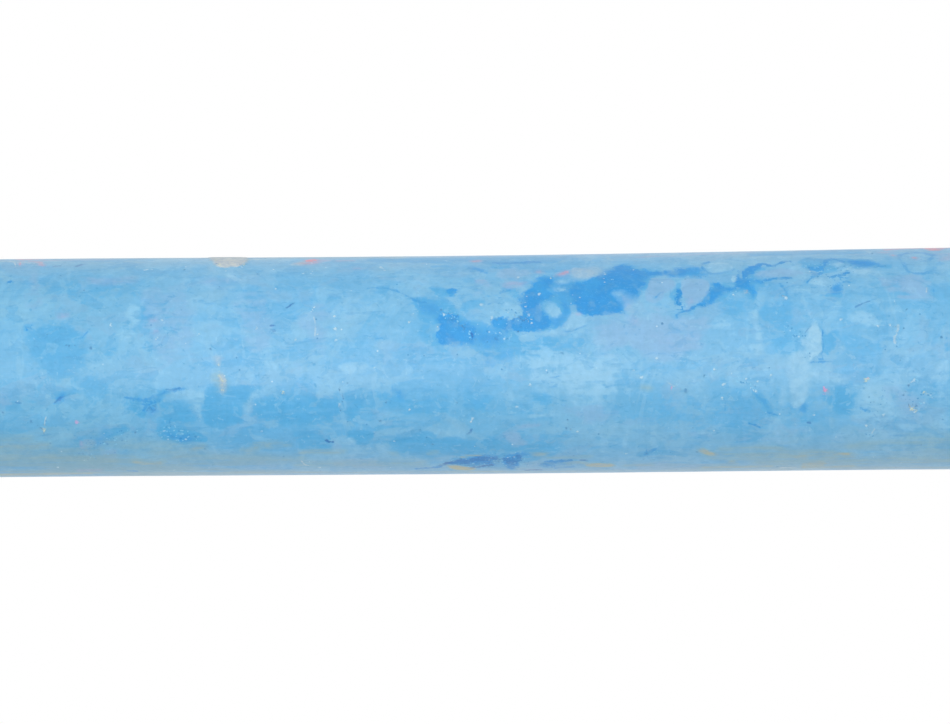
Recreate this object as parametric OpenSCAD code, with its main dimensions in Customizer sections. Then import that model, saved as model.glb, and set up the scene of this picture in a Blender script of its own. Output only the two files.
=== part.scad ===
// Chalk stick
// A round stick of moulded blackboard chalk. It is cast in one piece: a straight
// barrel that flares slightly towards its wide end, with flat ends and softly
// rounded rims. It stands on the wide end.
// Millimetres, +Z up along the stick, origin at the middle of the wide end's face.

/* [Stick] */
// Length from end to end
stick_len = 80; // [60:1:120]
// Diameter of the straight barrel, which a chalk holder grips
barrel_d = 10; // [8:0.1:14]

/* [Flare] */
// How much wider than the barrel the wide end is, on the diameter
flare_d = 0.42; // [0.1:0.02:0.8]
// Length of the flare, from the wide end up to the straight barrel
flare_len = 50; // [20:1:50]
// Number of cone bands that the flare is built from
flare_bands = 8; // [4:1:16]

/* [Rims] */
// Rounding of the rim at the wide end, where the mould was struck off flat
wide_rim = 0.4; // [0.2:0.05:1.2]
// Rounding of the rim at the narrow end, from the bottom of the mould
narrow_rim = 0.7; // [0.2:0.05:1.2]

/* [Hidden] */
$fn = 128;

barrel_r = barrel_d / 2;
rim_steps = 8;

// Radius of the stick at height z: the flare opens with the square of the
// distance below its top, so it leaves the barrel without a shoulder.
function stick_r(z) =
    z >= flare_len ? barrel_r
                   : barrel_r + flare_d / 2 * pow((flare_len - z) / flare_len, 2);

// Quarter round from angle a0 to a1, about a centre in the profile plane.
function rim(cr, cz, r, a0, a1) =
    [for (i = [0 : rim_steps])
        let (a = a0 + (a1 - a0) * i / rim_steps)
            [cr + r * cos(a), cz + r * sin(a)]];

// Half section of the stick, from the axis at the wide end round to the axis
// at the narrow end.
function stick_profile() = concat(
    [[0, 0]],
    rim(stick_r(wide_rim) - wide_rim, wide_rim, wide_rim, -90, 0),
    [for (i = [1 : flare_bands - 1])
        let (z = wide_rim + (flare_len - wide_rim) * i / flare_bands)
            [stick_r(z), z]],
    [[barrel_r, flare_len]],
    rim(barrel_r - narrow_rim, stick_len - narrow_rim, narrow_rim, 0, 90),
    [[0, stick_len]]
);

// The whole stick, one solid turned about its own axis
module stick() {
    color([0.46, 0.72, 0.88])
        rotate_extrude()
            polygon(stick_profile());
}

stick();
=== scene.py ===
import math
import random

import bpy
import numpy as np
from mathutils import Matrix, Vector
from mathutils import noise as mnoise


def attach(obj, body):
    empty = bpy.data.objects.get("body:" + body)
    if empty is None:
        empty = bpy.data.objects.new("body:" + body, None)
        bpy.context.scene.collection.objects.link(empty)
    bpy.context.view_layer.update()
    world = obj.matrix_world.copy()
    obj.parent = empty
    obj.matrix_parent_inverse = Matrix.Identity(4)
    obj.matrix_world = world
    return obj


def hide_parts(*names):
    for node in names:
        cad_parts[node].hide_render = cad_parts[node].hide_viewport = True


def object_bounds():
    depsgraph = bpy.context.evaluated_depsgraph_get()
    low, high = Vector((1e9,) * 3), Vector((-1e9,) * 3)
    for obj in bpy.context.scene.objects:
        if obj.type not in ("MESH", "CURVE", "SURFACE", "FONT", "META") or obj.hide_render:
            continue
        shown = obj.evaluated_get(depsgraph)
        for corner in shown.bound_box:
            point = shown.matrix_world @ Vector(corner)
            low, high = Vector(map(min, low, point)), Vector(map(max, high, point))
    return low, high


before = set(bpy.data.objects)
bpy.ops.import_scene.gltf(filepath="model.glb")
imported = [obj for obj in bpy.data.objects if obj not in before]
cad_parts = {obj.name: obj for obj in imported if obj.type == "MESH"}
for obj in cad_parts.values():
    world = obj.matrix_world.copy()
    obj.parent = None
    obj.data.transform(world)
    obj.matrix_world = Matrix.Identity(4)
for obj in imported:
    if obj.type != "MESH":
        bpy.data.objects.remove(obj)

# noise_vector's offsets come from the clock unless a seed is set
mnoise.seed_set(7)

cad_lo, cad_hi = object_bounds()
MM = 0.001

# ---------------------------------------------------------------- the stick's form
# All lengths here are in millimetres. phi turns about the stick's axis: 0 faces
# -Y, 90 degrees faces +X. "along" is z, "across" is the arc length 5 * phi.
LEN = (cad_hi.z - cad_lo.z) / MM
R = 5.0
WIDE_RIM, NARROW_RIM = 0.4, 0.7


def stick_r(z):
    return R + 0.21 * np.clip((50.0 - z) / 50.0, 0, None) ** 2


def spaced(a, b, step):
    return np.linspace(a, b, max(2, int(round((b - a) / step)) + 1))


# columns round the stick, closer together on the side that has the most detail
front = np.radians(spaced(-104, 104, 1.46))
back = np.radians(spaced(104, 256, 3.6))[1:-1]
PHI = np.concatenate([front, back])
# rows along the side
rows = np.concatenate([
    spaced(WIDE_RIM, 17.4, 0.29)[:-1], spaced(17.4, 62.8, 0.127)[:-1],
    spaced(62.8, LEN - NARROW_RIM, 0.29)])
NC = len(PHI)

# each ring: (radius, height, distance along the half section, part)
rings = []
base_r = float(stick_r(WIDE_RIM)) - 0.003
for r in spaced(0.45, base_r - WIDE_RIM, 0.42)[:-1]:
    rings.append((r, 0.0, r, 0))
for a in np.radians(spaced(-90, 0, 15))[:-1]:
    rings.append((base_r - WIDE_RIM + WIDE_RIM * math.cos(a), WIDE_RIM + WIDE_RIM * math.sin(a),
                  base_r - WIDE_RIM + WIDE_RIM * (a + math.pi / 2), 0))
n_base = len(rings)
for z in rows:
    rings.append((float(stick_r(z)) - 0.001, z, z, 1))
n_side = len(rings)
top_r = R - 0.001
for a in np.radians(spaced(0, 90, 10))[1:]:
    rings.append((top_r - NARROW_RIM + NARROW_RIM * math.cos(a), LEN - NARROW_RIM + NARROW_RIM * math.sin(a),
                  top_r - NARROW_RIM + NARROW_RIM * (math.pi / 2 - a), 2))
for r in spaced(top_r - NARROW_RIM, 0.45, 0.42)[1:]:
    rings.append((r, LEN, r, 2))
NR = len(rings)
ring_r = np.array([q[0] for q in rings])
ring_z = np.array([q[1] for q in rings])
ring_s = np.array([q[2] for q in rings])
ring_part = np.array([q[3] for q in rings])

rr, pp = np.repeat(ring_r, NC), np.tile(PHI, NR)
zz = np.repeat(ring_z, NC)
X, Y, Z = rr * np.sin(pp), -rr * np.cos(pp), zz
X, Y, Z = np.append(X, [0, 0]), np.append(Y, [0, 0]), np.append(Z, [0, LEN])
wrapped = (pp + math.pi) % (2 * math.pi) - math.pi
ACROSS = np.append(5.0 * wrapped, [0, 0])
PART = np.append(np.repeat(ring_part, NC), [0, 2])
NV = len(X)
TURN = 10 * math.pi  # once round the stick, in "across" millimetres
FINE = np.append((np.abs(wrapped) < math.radians(105)) & (zz > 17.2) & (zz < 63.0), [False, False])


def field(scale, seed, octaves=3, squash=1.0):
    """Smooth noise over the whole skin, about -1 to 1."""
    out = np.empty(NV)
    off = seed * 13.7
    for i in range(NV):
        out[i] = mnoise.fractal((X[i] / scale + off, Y[i] / scale - off, Z[i] / scale / squash + off), 0.6, 2.0, octaves)
    return out


# ---------------------------------------------------------------- marks on the skin
# Stains, rubbed patches, scratches and crumbs, each placed one by one, in millimetres
# (along, across). Patches: kind, softness, strength, outline.
PATCHES = [
    ("deep", 0.08, 1, [
        (41.71, 2.18), (41.61, 2.35), (41.39, 2.43), (41.11, 2.4), (40.84, 2.37), (40.66, 2.16), (40.48, 1.99),
        (40.21, 1.86), (39.92, 1.71), (39.9, 1.38), (39.95, .9), (40.63, .88), (41.26, .9), (41.58, .91),
        (41.72, 1.12), (41.71, 1.4), (41.53, 1.61), (41.62, 1.93)]),
    ("rich", 0.1, 1, [
        (41.97, 1.14), (41.83, 1.38), (41.53, 1.64), (41.3, 1.44), (41.26, .87), (41.83, .91)]),
    ("rich", 0.12, 0.62, [
        (41.91, .89), (41.13, .88), (41.18, .61), (41.45, .49), (41.77, .59)]),
    ("deep", 0.14, 0.62, [
        (42.52, 3.11), (42.16, 3.08), (41.57, 2.91), (41.43, 2.64), (41.34, 2.38), (41.66, 2.28),
        (42.02, 2.46), (42.29, 2.65), (42.48, 2.81)]),
    ("rich", 0.3, 1, [
        (42.93, 3.38), (42.15, 3.31), (41.34, 3.12), (40.57, 2.68), (40.03, 2.06), (40.21, 1.77),
        (41.58, 1.59), (41.94, 1.79), (42.3, 2.23), (42.75, 2.76)]),
    ("rich", 0.4, 0.8, [
        (42.3, 2.18), (41.75, 1.98), (41.76, .84), (41.31, .56), (42.04, .57), (42.49, 1.22)]),
    ("rich", 0.4, 0.7, [
        (40.56, 3.58), (39.74, 3.33), (38.83, 3.55), (37.83, 3.66), (37.93, 2.97), (38.83, 3.09),
        (39.75, 2.77), (40.47, 2.78)]),
    ("deep", 0.09, 0.95, [
        (41.35, 3.81), (41.1, 3.9), (40.83, 3.77), (40.86, 3.52), (41.11, 3.42), (41.33, 3.47)]),
    ("rich", 0.2, 0.85, [
        (42.06, 4.08), (41.65, 4.14), (41.29, 3.9), (41.02, 3.41), (41.52, 3.36), (41.97, 3.45)]),
    ("deep", 0.14, 0.8, [
        (39.92, 1.71), (39.58, 1.64), (39.17, 1.65), (38.76, 1.53), (38.67, 1.23), (38.9, .97), (39.33, .91),
        (39.92, .91)]),
    ("rich", 0.25, 1, [
        (40.21, 2.16), (39.75, 1.96), (39.03, 1.85), (38.39, 1.6), (37.49, 1.5), (36.3, 1.62), (36.04, 1.34),
        (37.04, 1.11), (38.22, .94), (39.04, .77), (39.86, .73)]),
    ("deep", 0.2, 0.5, [
        (39.66, .43), (39.45, .55), (39.25, .45), (39.32, .31), (39.09, .13), (38.86, .08), (38.91, -.05),
        (39.37, -.03), (39.57, .18)]),
    ("deep", 0.2, 0.5, [
        (38.91, .33), (38.63, .42), (38.32, .5), (38.27, .4), (38.5, .26), (38.73, .22)]),
    ("rich", 0.2, 0.8, [
        (39.77, .55), (39, .45), (38.22, .58), (38.32, .21), (38.82, -.1), (39.5, -.12)]),
    ("deep", 0.08, 1, [
        (37.04, 4.53), (36.59, 4.58), (36.27, 4.36), (36.25, 4.08), (36.5, 3.89), (36.67, 3.67), (36.33, 3.58),
        (36.1, 3.36), (36.42, 3.17), (36.88, 3.04), (36.97, 2.84), (36.88, 2.47), (36.62, 2.17), (36.39, 1.96),
        (36.58, 1.7), (36.99, 1.53), (37.53, 1.47), (38.17, 1.46), (38.76, 1.51), (39.1, 1.63), (39.19, 1.92),
        (39, 2.21), (38.62, 2.1), (38.28, 2.1), (38.02, 2.2), (37.78, 2.46), (37.75, 2.69), (37.86, 2.88),
        (37.92, 3.22), (37.78, 3.54), (37.46, 3.78), (37.28, 4.13)]),
    ("deep", 0.16, 0.72, [
        (36.62, 2.17), (36.3, 2.19), (36.04, 2.41), (36.02, 2.72), (36.15, 3.05), (35.88, 3.13), (35.68, 2.75),
        (35.71, 2.36), (35.87, 2.06), (36.1, 1.79), (36.44, 1.72)]),
    ("rich", 0.14, 1, [
        (36.97, 3.23), (36.46, 3.4), (35.97, 3.28), (35.65, 2.88), (35.68, 2.36), (35.98, 1.86), (36.44, 1.63),
        (36.99, 1.47), (37.03, 2.12), (37.02, 2.85)]),
    ("deep", 0.2, 0.5, [
        (36.63, 4.37), (35.99, 4.57), (35.36, 4.34), (35.29, 3.04), (35.74, 2.72), (36.29, 3.17), (36.6, 3.64)]),
    ("rich", 0.3, 1, [
        (36.81, 4.59), (35.99, 4.81), (35.17, 4.48), (35.11, 2.93), (35.75, 2.51), (36.38, 3.06), (36.74, 3.52)]),
    ("rich", 0.45, 0.8, [
        (39.95, 1.01), (37.95, 1.12), (36.13, 1.24), (34.76, 1.51), (34.77, .86), (37.04, .52), (38.86, .35),
        (39.95, .55)]),
    ("pale", 0.12, 0.48, [
        (33.64, 3.5), (33.19, 3.47), (32.74, 3.17), (32.61, 2.68), (32.93, 2.37), (33.29, 2.96)]),
    ("pink", 0.05, 1, [
        (24.22, -1.37), (24.18, -1.29), (24.1, -1.25), (24.02, -1.29), (23.98, -1.37), (24.02, -1.46),
        (24.1, -1.5), (24.18, -1.46)]),
    ("pink", 0.2, 0.3, [
        (33.46, 3.41), (32.83, 3.06), (32.75, 2.47), (33.11, 2.74)]),
    ("deep", 0.08, 1, [
        (35.84, 3.94), (35.54, 4.14), (35.29, 4.2), (35.18, 4.1), (34.81, 4.26), (34.54, 4.51), (34.26, 4.69),
        (34.14, 4.93), (33.8, 5), (33.54, 5.39), (33.06, 5.5), (32.56, 5.11), (31.98, 4.8), (31.96, 4.38),
        (32.17, 4.08), (32.39, 3.67), (32.58, 3.23), (32.74, 2.92), (33.06, 2.82), (33.18, 2.5), (33.3, 2.31),
        (33.84, 2.26), (34.34, 2.19), (34.77, 2.22), (35.07, 2.38), (35.41, 2.5), (35.5, 2.79), (35.65, 3.02),
        (35.84, 3.15), (35.94, 3.48), (36.05, 3.69)]),
    ("rich", 0.3, 0.75, [
        (34.44, 4.85), (33.7, 5.32), (33.06, 5.7), (32.33, 5.23), (31.79, 4.88), (31.9, 4.14), (32.37, 3.45),
        (32.65, 2.79), (33.12, 2.17), (34.12, 2.01), (34.94, 2.07), (35.48, 2.4)]),
    ("deep", 0.08, 0.95, [
        (32.43, 5.13), (31.93, 4.83), (31.15, 4.94), (30.79, 5.09), (30.15, 5.04), (29.83, 5.17), (29.6, 4.94),
        (29.5, 4.51), (29.71, 4.37), (30.43, 4.48), (30.98, 4.5), (31.53, 4.54), (31.98, 4.57), (32.17, 4.21),
        (32.45, 3.85)]),
    ("deep", 0.07, 1, [
        (30.8, 3.66), (30.61, 3.64), (30.6, 3.14), (30.63, 2.78), (30.81, 2.77), (30.82, 3.2)]),
    ("rich", 0.2, 0.7, [
        (31.23, 3.56), (30.81, 3.76), (30.54, 3.73), (30.56, 2.73), (31.01, 2.74), (31.19, 2.98)]),
    ("deep", 0.07, 1, [
        (29.24, 4.04), (28.99, 3.98), (28.6, 3.73), (28.36, 3.59), (28.11, 3.62), (28.05, 3.96), (27.98, 4.81),
        (27.9, 4.9), (27.89, 4.19), (27.72, 4.32), (27.75, 4.7), (27.53, 4.98), (27.18, 5.26), (26.82, 5.49),
        (26.76, 5.33), (26.99, 4.96), (27.24, 4.62), (27.44, 4.39), (27.52, 4.18), (27.25, 4.17),
        (26.76, 4.16), (26.67, 4.04), (26.82, 3.97), (27.3, 4), (27.44, 3.87), (27.26, 3.55), (27.22, 3.12),
        (27.33, 3.05), (27.49, 3.35), (27.72, 3.48), (28.01, 3.48), (28.5, 3.45), (28.71, 3.22), (28.92, 3.05),
        (29.11, 2.97), (29.26, 2.77), (29.52, 2.56), (29.72, 2.62), (29.56, 2.9), (29.4, 3.26), (29.24, 3.58),
        (29.14, 3.77)]),
    ("rich", 0.3, 0.72, [
        (29.43, 4.3), (28.71, 4.01), (28.17, 3.87), (28.05, 5.04), (27.5, 5.2), (26.66, 5.67), (26.59, 4.84),
        (27.15, 4.39), (26.52, 4.17), (26.71, 3.79), (27.17, 3.73), (27.05, 3.03), (27.46, 2.98), (28, 3.27),
        (28.55, 3.11), (29.2, 2.53), (29.84, 2.49), (29.6, 3.18)]),
    ("rich", 0.5, 0.55, [
        (29.11, 3.06), (28.37, 3.16), (27.6, 2.98), (27.38, 2.61), (27.48, 2.1), (27.85, 1.81), (28.76, 1.87),
        (29.11, 2.32)]),
    ("deep", 0.07, 0.95, [
        (24.87, 5.09), (24.44, 5.07), (24.21, 5.11), (23.99, 5.43), (23.91, 5.28), (24, 4.89), (24.18, 4.64),
        (24.46, 4.66), (24.77, 4.79)]),
    ("deep", 0.09, 0.95, [
        (22.93, 5.43), (22.56, 5.52), (22.19, 5.52), (21.83, 5.37), (21.47, 5.27), (21.2, 5.24), (21.48, 5.07),
        (21.94, 4.98), (22.39, 4.98), (22.75, 5.16)]),
    ("rich", 0.2, 0.85, [
        (24.93, 5.51), (24.01, 5.86), (23, 5.77), (21.91, 5.67), (20.69, 5.28), (20.89, 4.98), (22.04, 4.77),
        (23.03, 4.91), (24.14, 4.47), (24.87, 4.64)]),
    ("deep", 0.07, 0.85, [
        (23.54, 3.79), (23.37, 3.78), (23.26, 3.3), (23.91, 3.31), (23.73, 3.61)]),
    ("rich", 0.25, 0.7, [
        (24.63, 3.45), (23.85, 3.8), (23.25, 3.98), (23.09, 3.25), (23.91, 3.09)]),
    ("deep", 0.1, 0.72, [
        (40.3, 5.54), (40, 5.43), (39.64, 5.23), (39.37, 4.99), (39.73, 5.05), (40.14, 5.19)]),
    ("rich", 0.2, 0.7, [
        (60.48, 1.79), (60.21, 2.09), (59.93, 2.03), (60.02, 1.74)]),
    ("rich", 0.12, 0.75, [
        (61.2, 4.31), (61.02, 4.56), (60.84, 4.56), (60.93, 4.27)]),
    ("rich", 0.6, 0.8, [
        (60.3, 1.7), (59.57, 1.98), (58.75, 1.92), (58.11, 1.58), (57.75, 1.19), (57.94, .55), (58.21, -.18),
        (58.76, -.53), (59.76, -.34), (60.3, .03), (60.43, .85)]),
    ("rich", 0.3, 0.62, [
        (58.04, 3.34), (57.58, 3.31), (57.57, 2.41), (58.07, 2.37), (58.21, 2.79)]),
    ("rich", 0.35, 0.5, [
        (58.8, 5), (57.8, 4.98), (57.5, 3.95), (57.68, 3.4), (58.31, 3.46), (58.78, 4.1)]),
    ("rich", 0.3, 0.55, [
        (57.16, 1.38), (56.48, 1.46), (56.3, .99), (56.85, .54), (57.34, .73)]),
    ("rich", 0.2, 0.85, [
        (55.3, 2.86), (55.03, 2.94), (54.67, 2.8), (54.64, 2.48), (54.89, 2.28), (55.25, 2.31)]),
    ("rich", 0.4, 0.5, [
        (57.33, 4.36), (56.14, 4.48), (55.14, 4.18), (54.76, 3.54), (55.4, 3.19), (56.67, 3.32), (57.31, 3.57)]),
    ("rich", 0.35, 0.6, [
        (55.39, 1.17), (54.66, 1.35), (54.3, 1.06), (54.39, .51), (55.12, .52)]),
    ("deep", 0.12, 0.7, [
        (58.99, -1.56), (58.96, -1.34), (58.77, -1.18), (58.57, -1.16), (58.69, -1.37), (58.9, -1.53),
        (59.08, -1.67)]),
    ("rich", 0.2, 0.85, [
        (59.05, -1.27), (58.77, -1.06), (58.18, -1.07), (58.14, -1.28), (58.6, -1.46), (58.97, -1.7)]),
    ("rich", 0.5, 0.62, [
        (58.13, -.45), (57.4, -.27), (56.4, -.65), (56.51, -1.39), (57.24, -1.67), (57.96, -1.28)]),
    ("rich", 0.25, 0.9, [
        (56.05, -1.26), (55.42, -1.31), (54.69, -1.32), (53.87, -1.04), (53.6, -1.33), (54.15, -1.61),
        (54.7, -1.99), (55.16, -2.18), (55.7, -1.88)]),
    ("deep", 0.12, 0.6, [
        (54.97, -1.99), (54.7, -1.84), (54.43, -2.02), (54.66, -2.24), (54.89, -2.19)]),
    ("rich", 0.5, 0.8, [
        (54.33, -1.65), (53.51, -1.52), (52.88, -1.67), (52.61, -2.11), (52.44, -2.73), (52.91, -3.17),
        (53.64, -3.27), (54.23, -3.04), (54.35, -2.4)]),
    ("deep", 0.15, 0.62, [
        (54.11, -3.12), (53.86, -3.18), (53.6, -3.39), (53.28, -3.28), (53.05, -3.4), (52.78, -3.38),
        (52.83, -3.68), (53.2, -3.73), (53.65, -3.68), (53.97, -3.6)]),
    ("rich", 0.25, 1, [
        (54.36, -2.98), (53.45, -3.1), (52.27, -3.23), (52.19, -3.71), (52.93, -3.96), (54.11, -3.75)]),
    ("rich", 0.3, 1, [
        (52.32, -.83), (51.59, -.74), (50.68, -.75), (49.87, -.9), (50.24, -1.41), (50.43, -1.99),
        (50.44, -2.55), (51.35, -2.75), (52.26, -2.74), (52.29, -1.72)]),
    ("rich", 0.4, 0.8, [
        (50.16, -2.14), (49.69, -1.46), (49.23, -.91), (47.96, -1.2), (46.6, -1.03), (46.06, -1.41),
        (46.16, -2.29), (46.81, -3.02), (48.18, -3.11), (49.72, -2.77)]),
    ("rich", 0.4, 0.75, [
        (48.33, -1.48), (46.97, -1.4), (46.61, -2.18), (47.08, -2.91), (48.08, -2.79)]),
    ("rich", 0.4, 0.72, [
        (48.18, -3.23), (47.18, -3.24), (46.59, -3.48), (46.56, -4.39), (47.38, -4.53), (48.2, -4.23)]),
    ("rich", 0.35, 0.7, [
        (46.06, -1.22), (45.05, -1.14), (44.88, -1.8), (45.17, -2.61), (45.9, -2.81)]),
    ("rich", 0.3, 0.85, [
        (45.81, -3.26), (45.26, -3.15), (44.63, -3.21), (44.54, -3.82), (45.28, -4), (45.77, -3.8)]),
    ("rich", 0.35, 0.65, [
        (44.6, -1.23), (43.78, -1.01), (43.15, -1.2), (42.7, -1.49), (41.7, -1.36), (41.43, -1.84),
        (41.8, -2.33), (42.8, -2.42), (43.79, -2.01), (44.52, -2)]),
    ("deep", 0.16, 0.58, [
        (43.83, -1.08), (43.56, -1.08), (43.24, -1.34), (43.33, -1.51), (43.69, -1.29)]),
    ("rich", 0.35, 0.6, [
        (42.9, -3.41), (41.99, -3.42), (41.63, -3.92), (41.82, -4.46), (42.64, -4.38)]),
    ("rich", 0.4, 0.6, [
        (40.88, -1.27), (39.79, -1.57), (39.25, -1.76), (39.11, -2.36), (39.71, -2.56), (40.61, -2.04)]),
    ("rich", 0.35, 0.7, [
        (37.56, -1.4), (36.97, -1.36), (36.56, -1.65), (36.52, -2.14), (37.07, -2.18), (37.52, -1.93)]),
    ("rich", 0.4, 0.55, [
        (37.35, -3.13), (36.16, -3.25), (35.53, -3.74), (35.71, -4.13), (36.8, -3.85)]),
    ("rich", 0.7, 0.36, [
        (33.52, -1.25), (32.06, -1.13), (30.25, -1.1), (28.43, -1.07), (26.89, -1.31), (26.52, -1.89),
        (26.07, -2.39), (26.34, -3.02), (27.97, -3.34), (29.79, -3.44), (31.61, -3.42), (32.98, -2.95),
        (33.52, -2.12)]),
    ("rich", 0.5, 0.4, [
        (31.07, -1.37), (29.34, -1.39), (28.7, -2.06), (29.25, -2.99), (30.7, -2.98)]),
    ("rich", 0.6, 0.34, [
        (26.61, -1.04), (25.25, -1.14), (22.89, -1.07), (22.7, -2.84), (24.33, -3.38), (26.34, -3.02)]),
    ("rich", 0.5, 0.55, [
        (26.74, 2.76), (25.92, 2.91), (25.38, 2.58), (25.31, 1.4), (25.51, .4), (26.15, .13), (26.69, .32),
        (26.81, 1.42)]),
    ("rich", 0.3, 0.95, [
        (24.2, 1.34), (23.32, 1.33), (23.14, 1.05), (23.33, .46), (23.61, .2), (24.2, .16)]),
    ("rich", 0.5, 0.5, [
        (23.14, 1.01), (21.6, .9), (21.33, .35), (22.25, 0), (23.15, .19)]),
    ("rich", 0.4, 0.75, [
        (24.25, -1.43), (23.34, -1.44), (22.43, -1.54), (22.43, -2.42), (23.34, -2.72), (24.25, -2.41),
        (24.71, -2)]),
    ("rich", 0.4, 0.3, [
        (21.07, -2.03), (20.43, -2.04), (20.15, -2.86), (20.59, -4.02), (21.23, -3.52)]),
    ("pale", 0.9, 0.36, [
        (22.43, -.53), (20.7, -.28), (17.98, -.04), (17.81, -7.56), (21.51, -6.75), (22.59, -4.01),
        (22.89, -1.82)]),
    ("lilac", 0.8, 0.3, [
        (30.7, -3.09), (27.06, -3.35), (22.96, -3.51), (22.95, -4.56), (27.05, -4.37), (30.24, -4.33)]),
    ("rich", 0.3, 0.6, [
        (19.14, 1.24), (18.41, 1.23), (18.42, .59), (18.97, .42)]),
    ("deep", 0.18, 0.42, [
        (57.44, -4.13), (57.29, -3.64), (57.05, -3.23), (56.77, -3.01), (56.6, -3.23), (56.88, -3.71),
        (57.13, -4.16)]),
    ("rich", 0.4, 0.8, [
        (56.91, -3.01), (56.08, -2.8), (55.91, -3.24), (56.57, -3.77), (57.02, -3.58)]),
    ("fleck", 0.3, 0.6, [
        (57.58, -4.22), (57.29, -3.46), (56.82, -3.01), (56.65, -3.47), (57.13, -4.23)]),
    ("rich", 0.4, 0.4, [
        (56.64, -3.01), (55.63, -2.8), (55.27, -3.03), (55.83, -3.48), (56.47, -3.59)]),
    ("rich", 0.3, 0.6, [
        (58.86, -4.34), (58.05, -4.43), (57.52, -4.99), (58.08, -5.34), (58.71, -5.05)]),
    ("deep", 0.08, 1, [
        (41.23, -5.64), (40.91, -5.36), (40.59, -5.13), (40.09, -4.98), (39.63, -4.85), (39.13, -4.91),
        (39.09, -5.3), (39.32, -5.84), (39.73, -5.74), (40.09, -5.87), (40.64, -5.68)]),
    ("deep", 0.08, 1, [
        (38.86, -5.23), (38.54, -4.84), (38.08, -4.76), (37.6, -4.72), (37.58, -4.92), (37.95, -5.1),
        (38.04, -5.67), (38.2, -6.36), (38.49, -6.42), (38.75, -5.79)]),
    ("rich", 0.4, 0.9, [
        (44.36, -3.76), (42.54, -3.65), (40.26, -3.81), (37.53, -3.59), (36.17, -3.86), (36.17, -5.02),
        (38.9, -4.66), (41.64, -5.11), (43.92, -4.9)]),
    ("rich", 0.2, 1, [
        (41.37, -5.49), (39.81, -4.72), (37.44, -4.56), (37.26, -5.01), (37.9, -5.56), (38.17, -6.65),
        (38.91, -6.62), (40.28, -6.1)]),
    ("rich", 0.25, 0.8, [
        (37.08, -5.19), (35.62, -5.16), (35.07, -5.51), (36.16, -6.36), (36.99, -6.19)]),
    ("deep", 0.14, 0.55, [
        (25.23, -2), (24.98, -2.1), (25.02, -2.4), (25.23, -2.35)]),
    ("pale", 0.09, 0.75, [
        (36.84, 2.83), (36.61, 2.95), (36.38, 2.87), (36.17, 2.67), (36.08, 2.47), (36.25, 2.26), (36.5, 2.23),
        (36.73, 2.4)]),
    ("pale", 0.1, 0.7, [
        (35.41, 2.43), (35.16, 2.3), (34.83, 2), (35.03, 1.73), (35.53, 1.65), (36.01, 1.64), (35.85, 1.96),
        (35.69, 2.33)]),
    ("pale", 0.09, 0.7, [
        (33.69, 3.49), (33.41, 3.51), (33.14, 3.45), (33.19, 3.16), (33.39, 3.1), (33.55, 3.3)]),
    ("lilac", 0.1, 0.95, [
        (33.24, 3.18), (32.92, 3.15), (32.69, 3.04), (32.74, 2.68), (33.07, 2.45), (33.24, 2.63), (33.15, 2.9)]),
    ("pale", 0.06, 0.8, [
        (36.38, 3.72), (36.09, 3.84), (35.78, 3.79), (36.05, 3.6)]),
    ("pale", 0.08, 0.75, [
        (36.27, 4.32), (35.95, 4.45), (35.63, 4.35), (35.82, 4.11), (36.14, 4.15)]),
    ("pale", 0.25, 0.45, [
        (38.97, 2.87), (38.38, 2.94), (37.93, 2.84), (37.86, 2.62), (38.07, 2.3), (38.48, 2.26), (38.79, 2.45),
        (39.11, 2.61)]),
    ("lilac", 0.12, 0.9, [
        (31.96, 4.45), (31.26, 4.4), (30.8, 4.19), (30.88, 3.73), (31.23, 3.5), (31.42, 3.04), (31.92, 2.83),
        (32.24, 3), (32.18, 3.57)]),
    ("lilac", 0.1, 0.95, [
        (30.5, 4.36), (29.71, 4.3), (29.3, 4.16), (29.3, 3.52), (29.46, 3.12), (29.65, 2.8), (30.2, 2.7),
        (30.51, 2.86), (30.54, 3.54)]),
    ("pale", 0.3, 0.55, [
        (32.34, 2.36), (31.57, 2.33), (31.21, 2.05), (31.76, 1.76), (32.3, 1.87)]),
    ("pale", 0.08, 0.7, [
        (29.36, 5.44), (28.67, 5.58), (28.13, 5.31), (28.24, 4.83), (28.61, 4.65), (29.11, 4.7), (29.37, 5.02)]),
    ("lilac", 0.15, 0.7, [
        (27.34, 4.4), (26.68, 4.94), (25.95, 5.04), (25.14, 4.75), (24.97, 4.42), (25.52, 4.22), (26.52, 4.24)]),
    ("pale", 0.2, 0.6, [
        (25.71, 3.96), (25.16, 4.08), (24.81, 3.57), (25.18, 3.11), (25.63, 3.35)]),
    ("pale", 0.08, 0.85, [
        (24.69, 3.8), (24.61, 4.07), (24.24, 4.19), (23.83, 4.15), (23.93, 3.86), (24.26, 3.68), (24.58, 3.69)]),
    ("pale", 0.08, 0.7, [
        (22.95, 4.7), (22.31, 4.83), (21.76, 4.7), (22.05, 4.36), (22.69, 4.41)]),
    ("pale", 0.1, 0.75, [
        (23.76, 5.1), (23.29, 5.38), (23.03, 5.11), (23.4, 4.81)]),
    ("pale", 0.14, 0.4, [
        (25.23, 1.12), (24.95, 1.4), (24.67, 1.58), (24.69, .66), (24.88, .3), (25.19, .48), (25.1, .8)]),
    ("pale", 0.05, 1, [
        (24.47, 1.86), (24.38, 1.77), (24.28, 1.41), (24.23, 1.25), (24.21, .52), (24.4, .27), (24.59, .09),
        (24.81, -.05), (24.95, .17), (25.13, .48), (25.19, .8), (25.17, 1.08), (25, 1.35), (24.7, 1.58)]),
    ("pale", 0.1, 0.75, [
        (25.69, .22), (25.24, .48), (24.88, .3), (24.79, -.24), (24.7, -.78), (24.89, -1.62), (25.25, -2.1),
        (25.61, -2.19), (25.71, -1.42), (25.72, -.5)]),
    ("pale", 0.14, 0.8, [
        (24.88, -.51), (24.25, -.52), (23.52, -.7), (23.07, -1.01), (23.43, -1.07), (24.07, -.93), (24.7, -.97)]),
    ("pale", 0.3, 0.72, [
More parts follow.
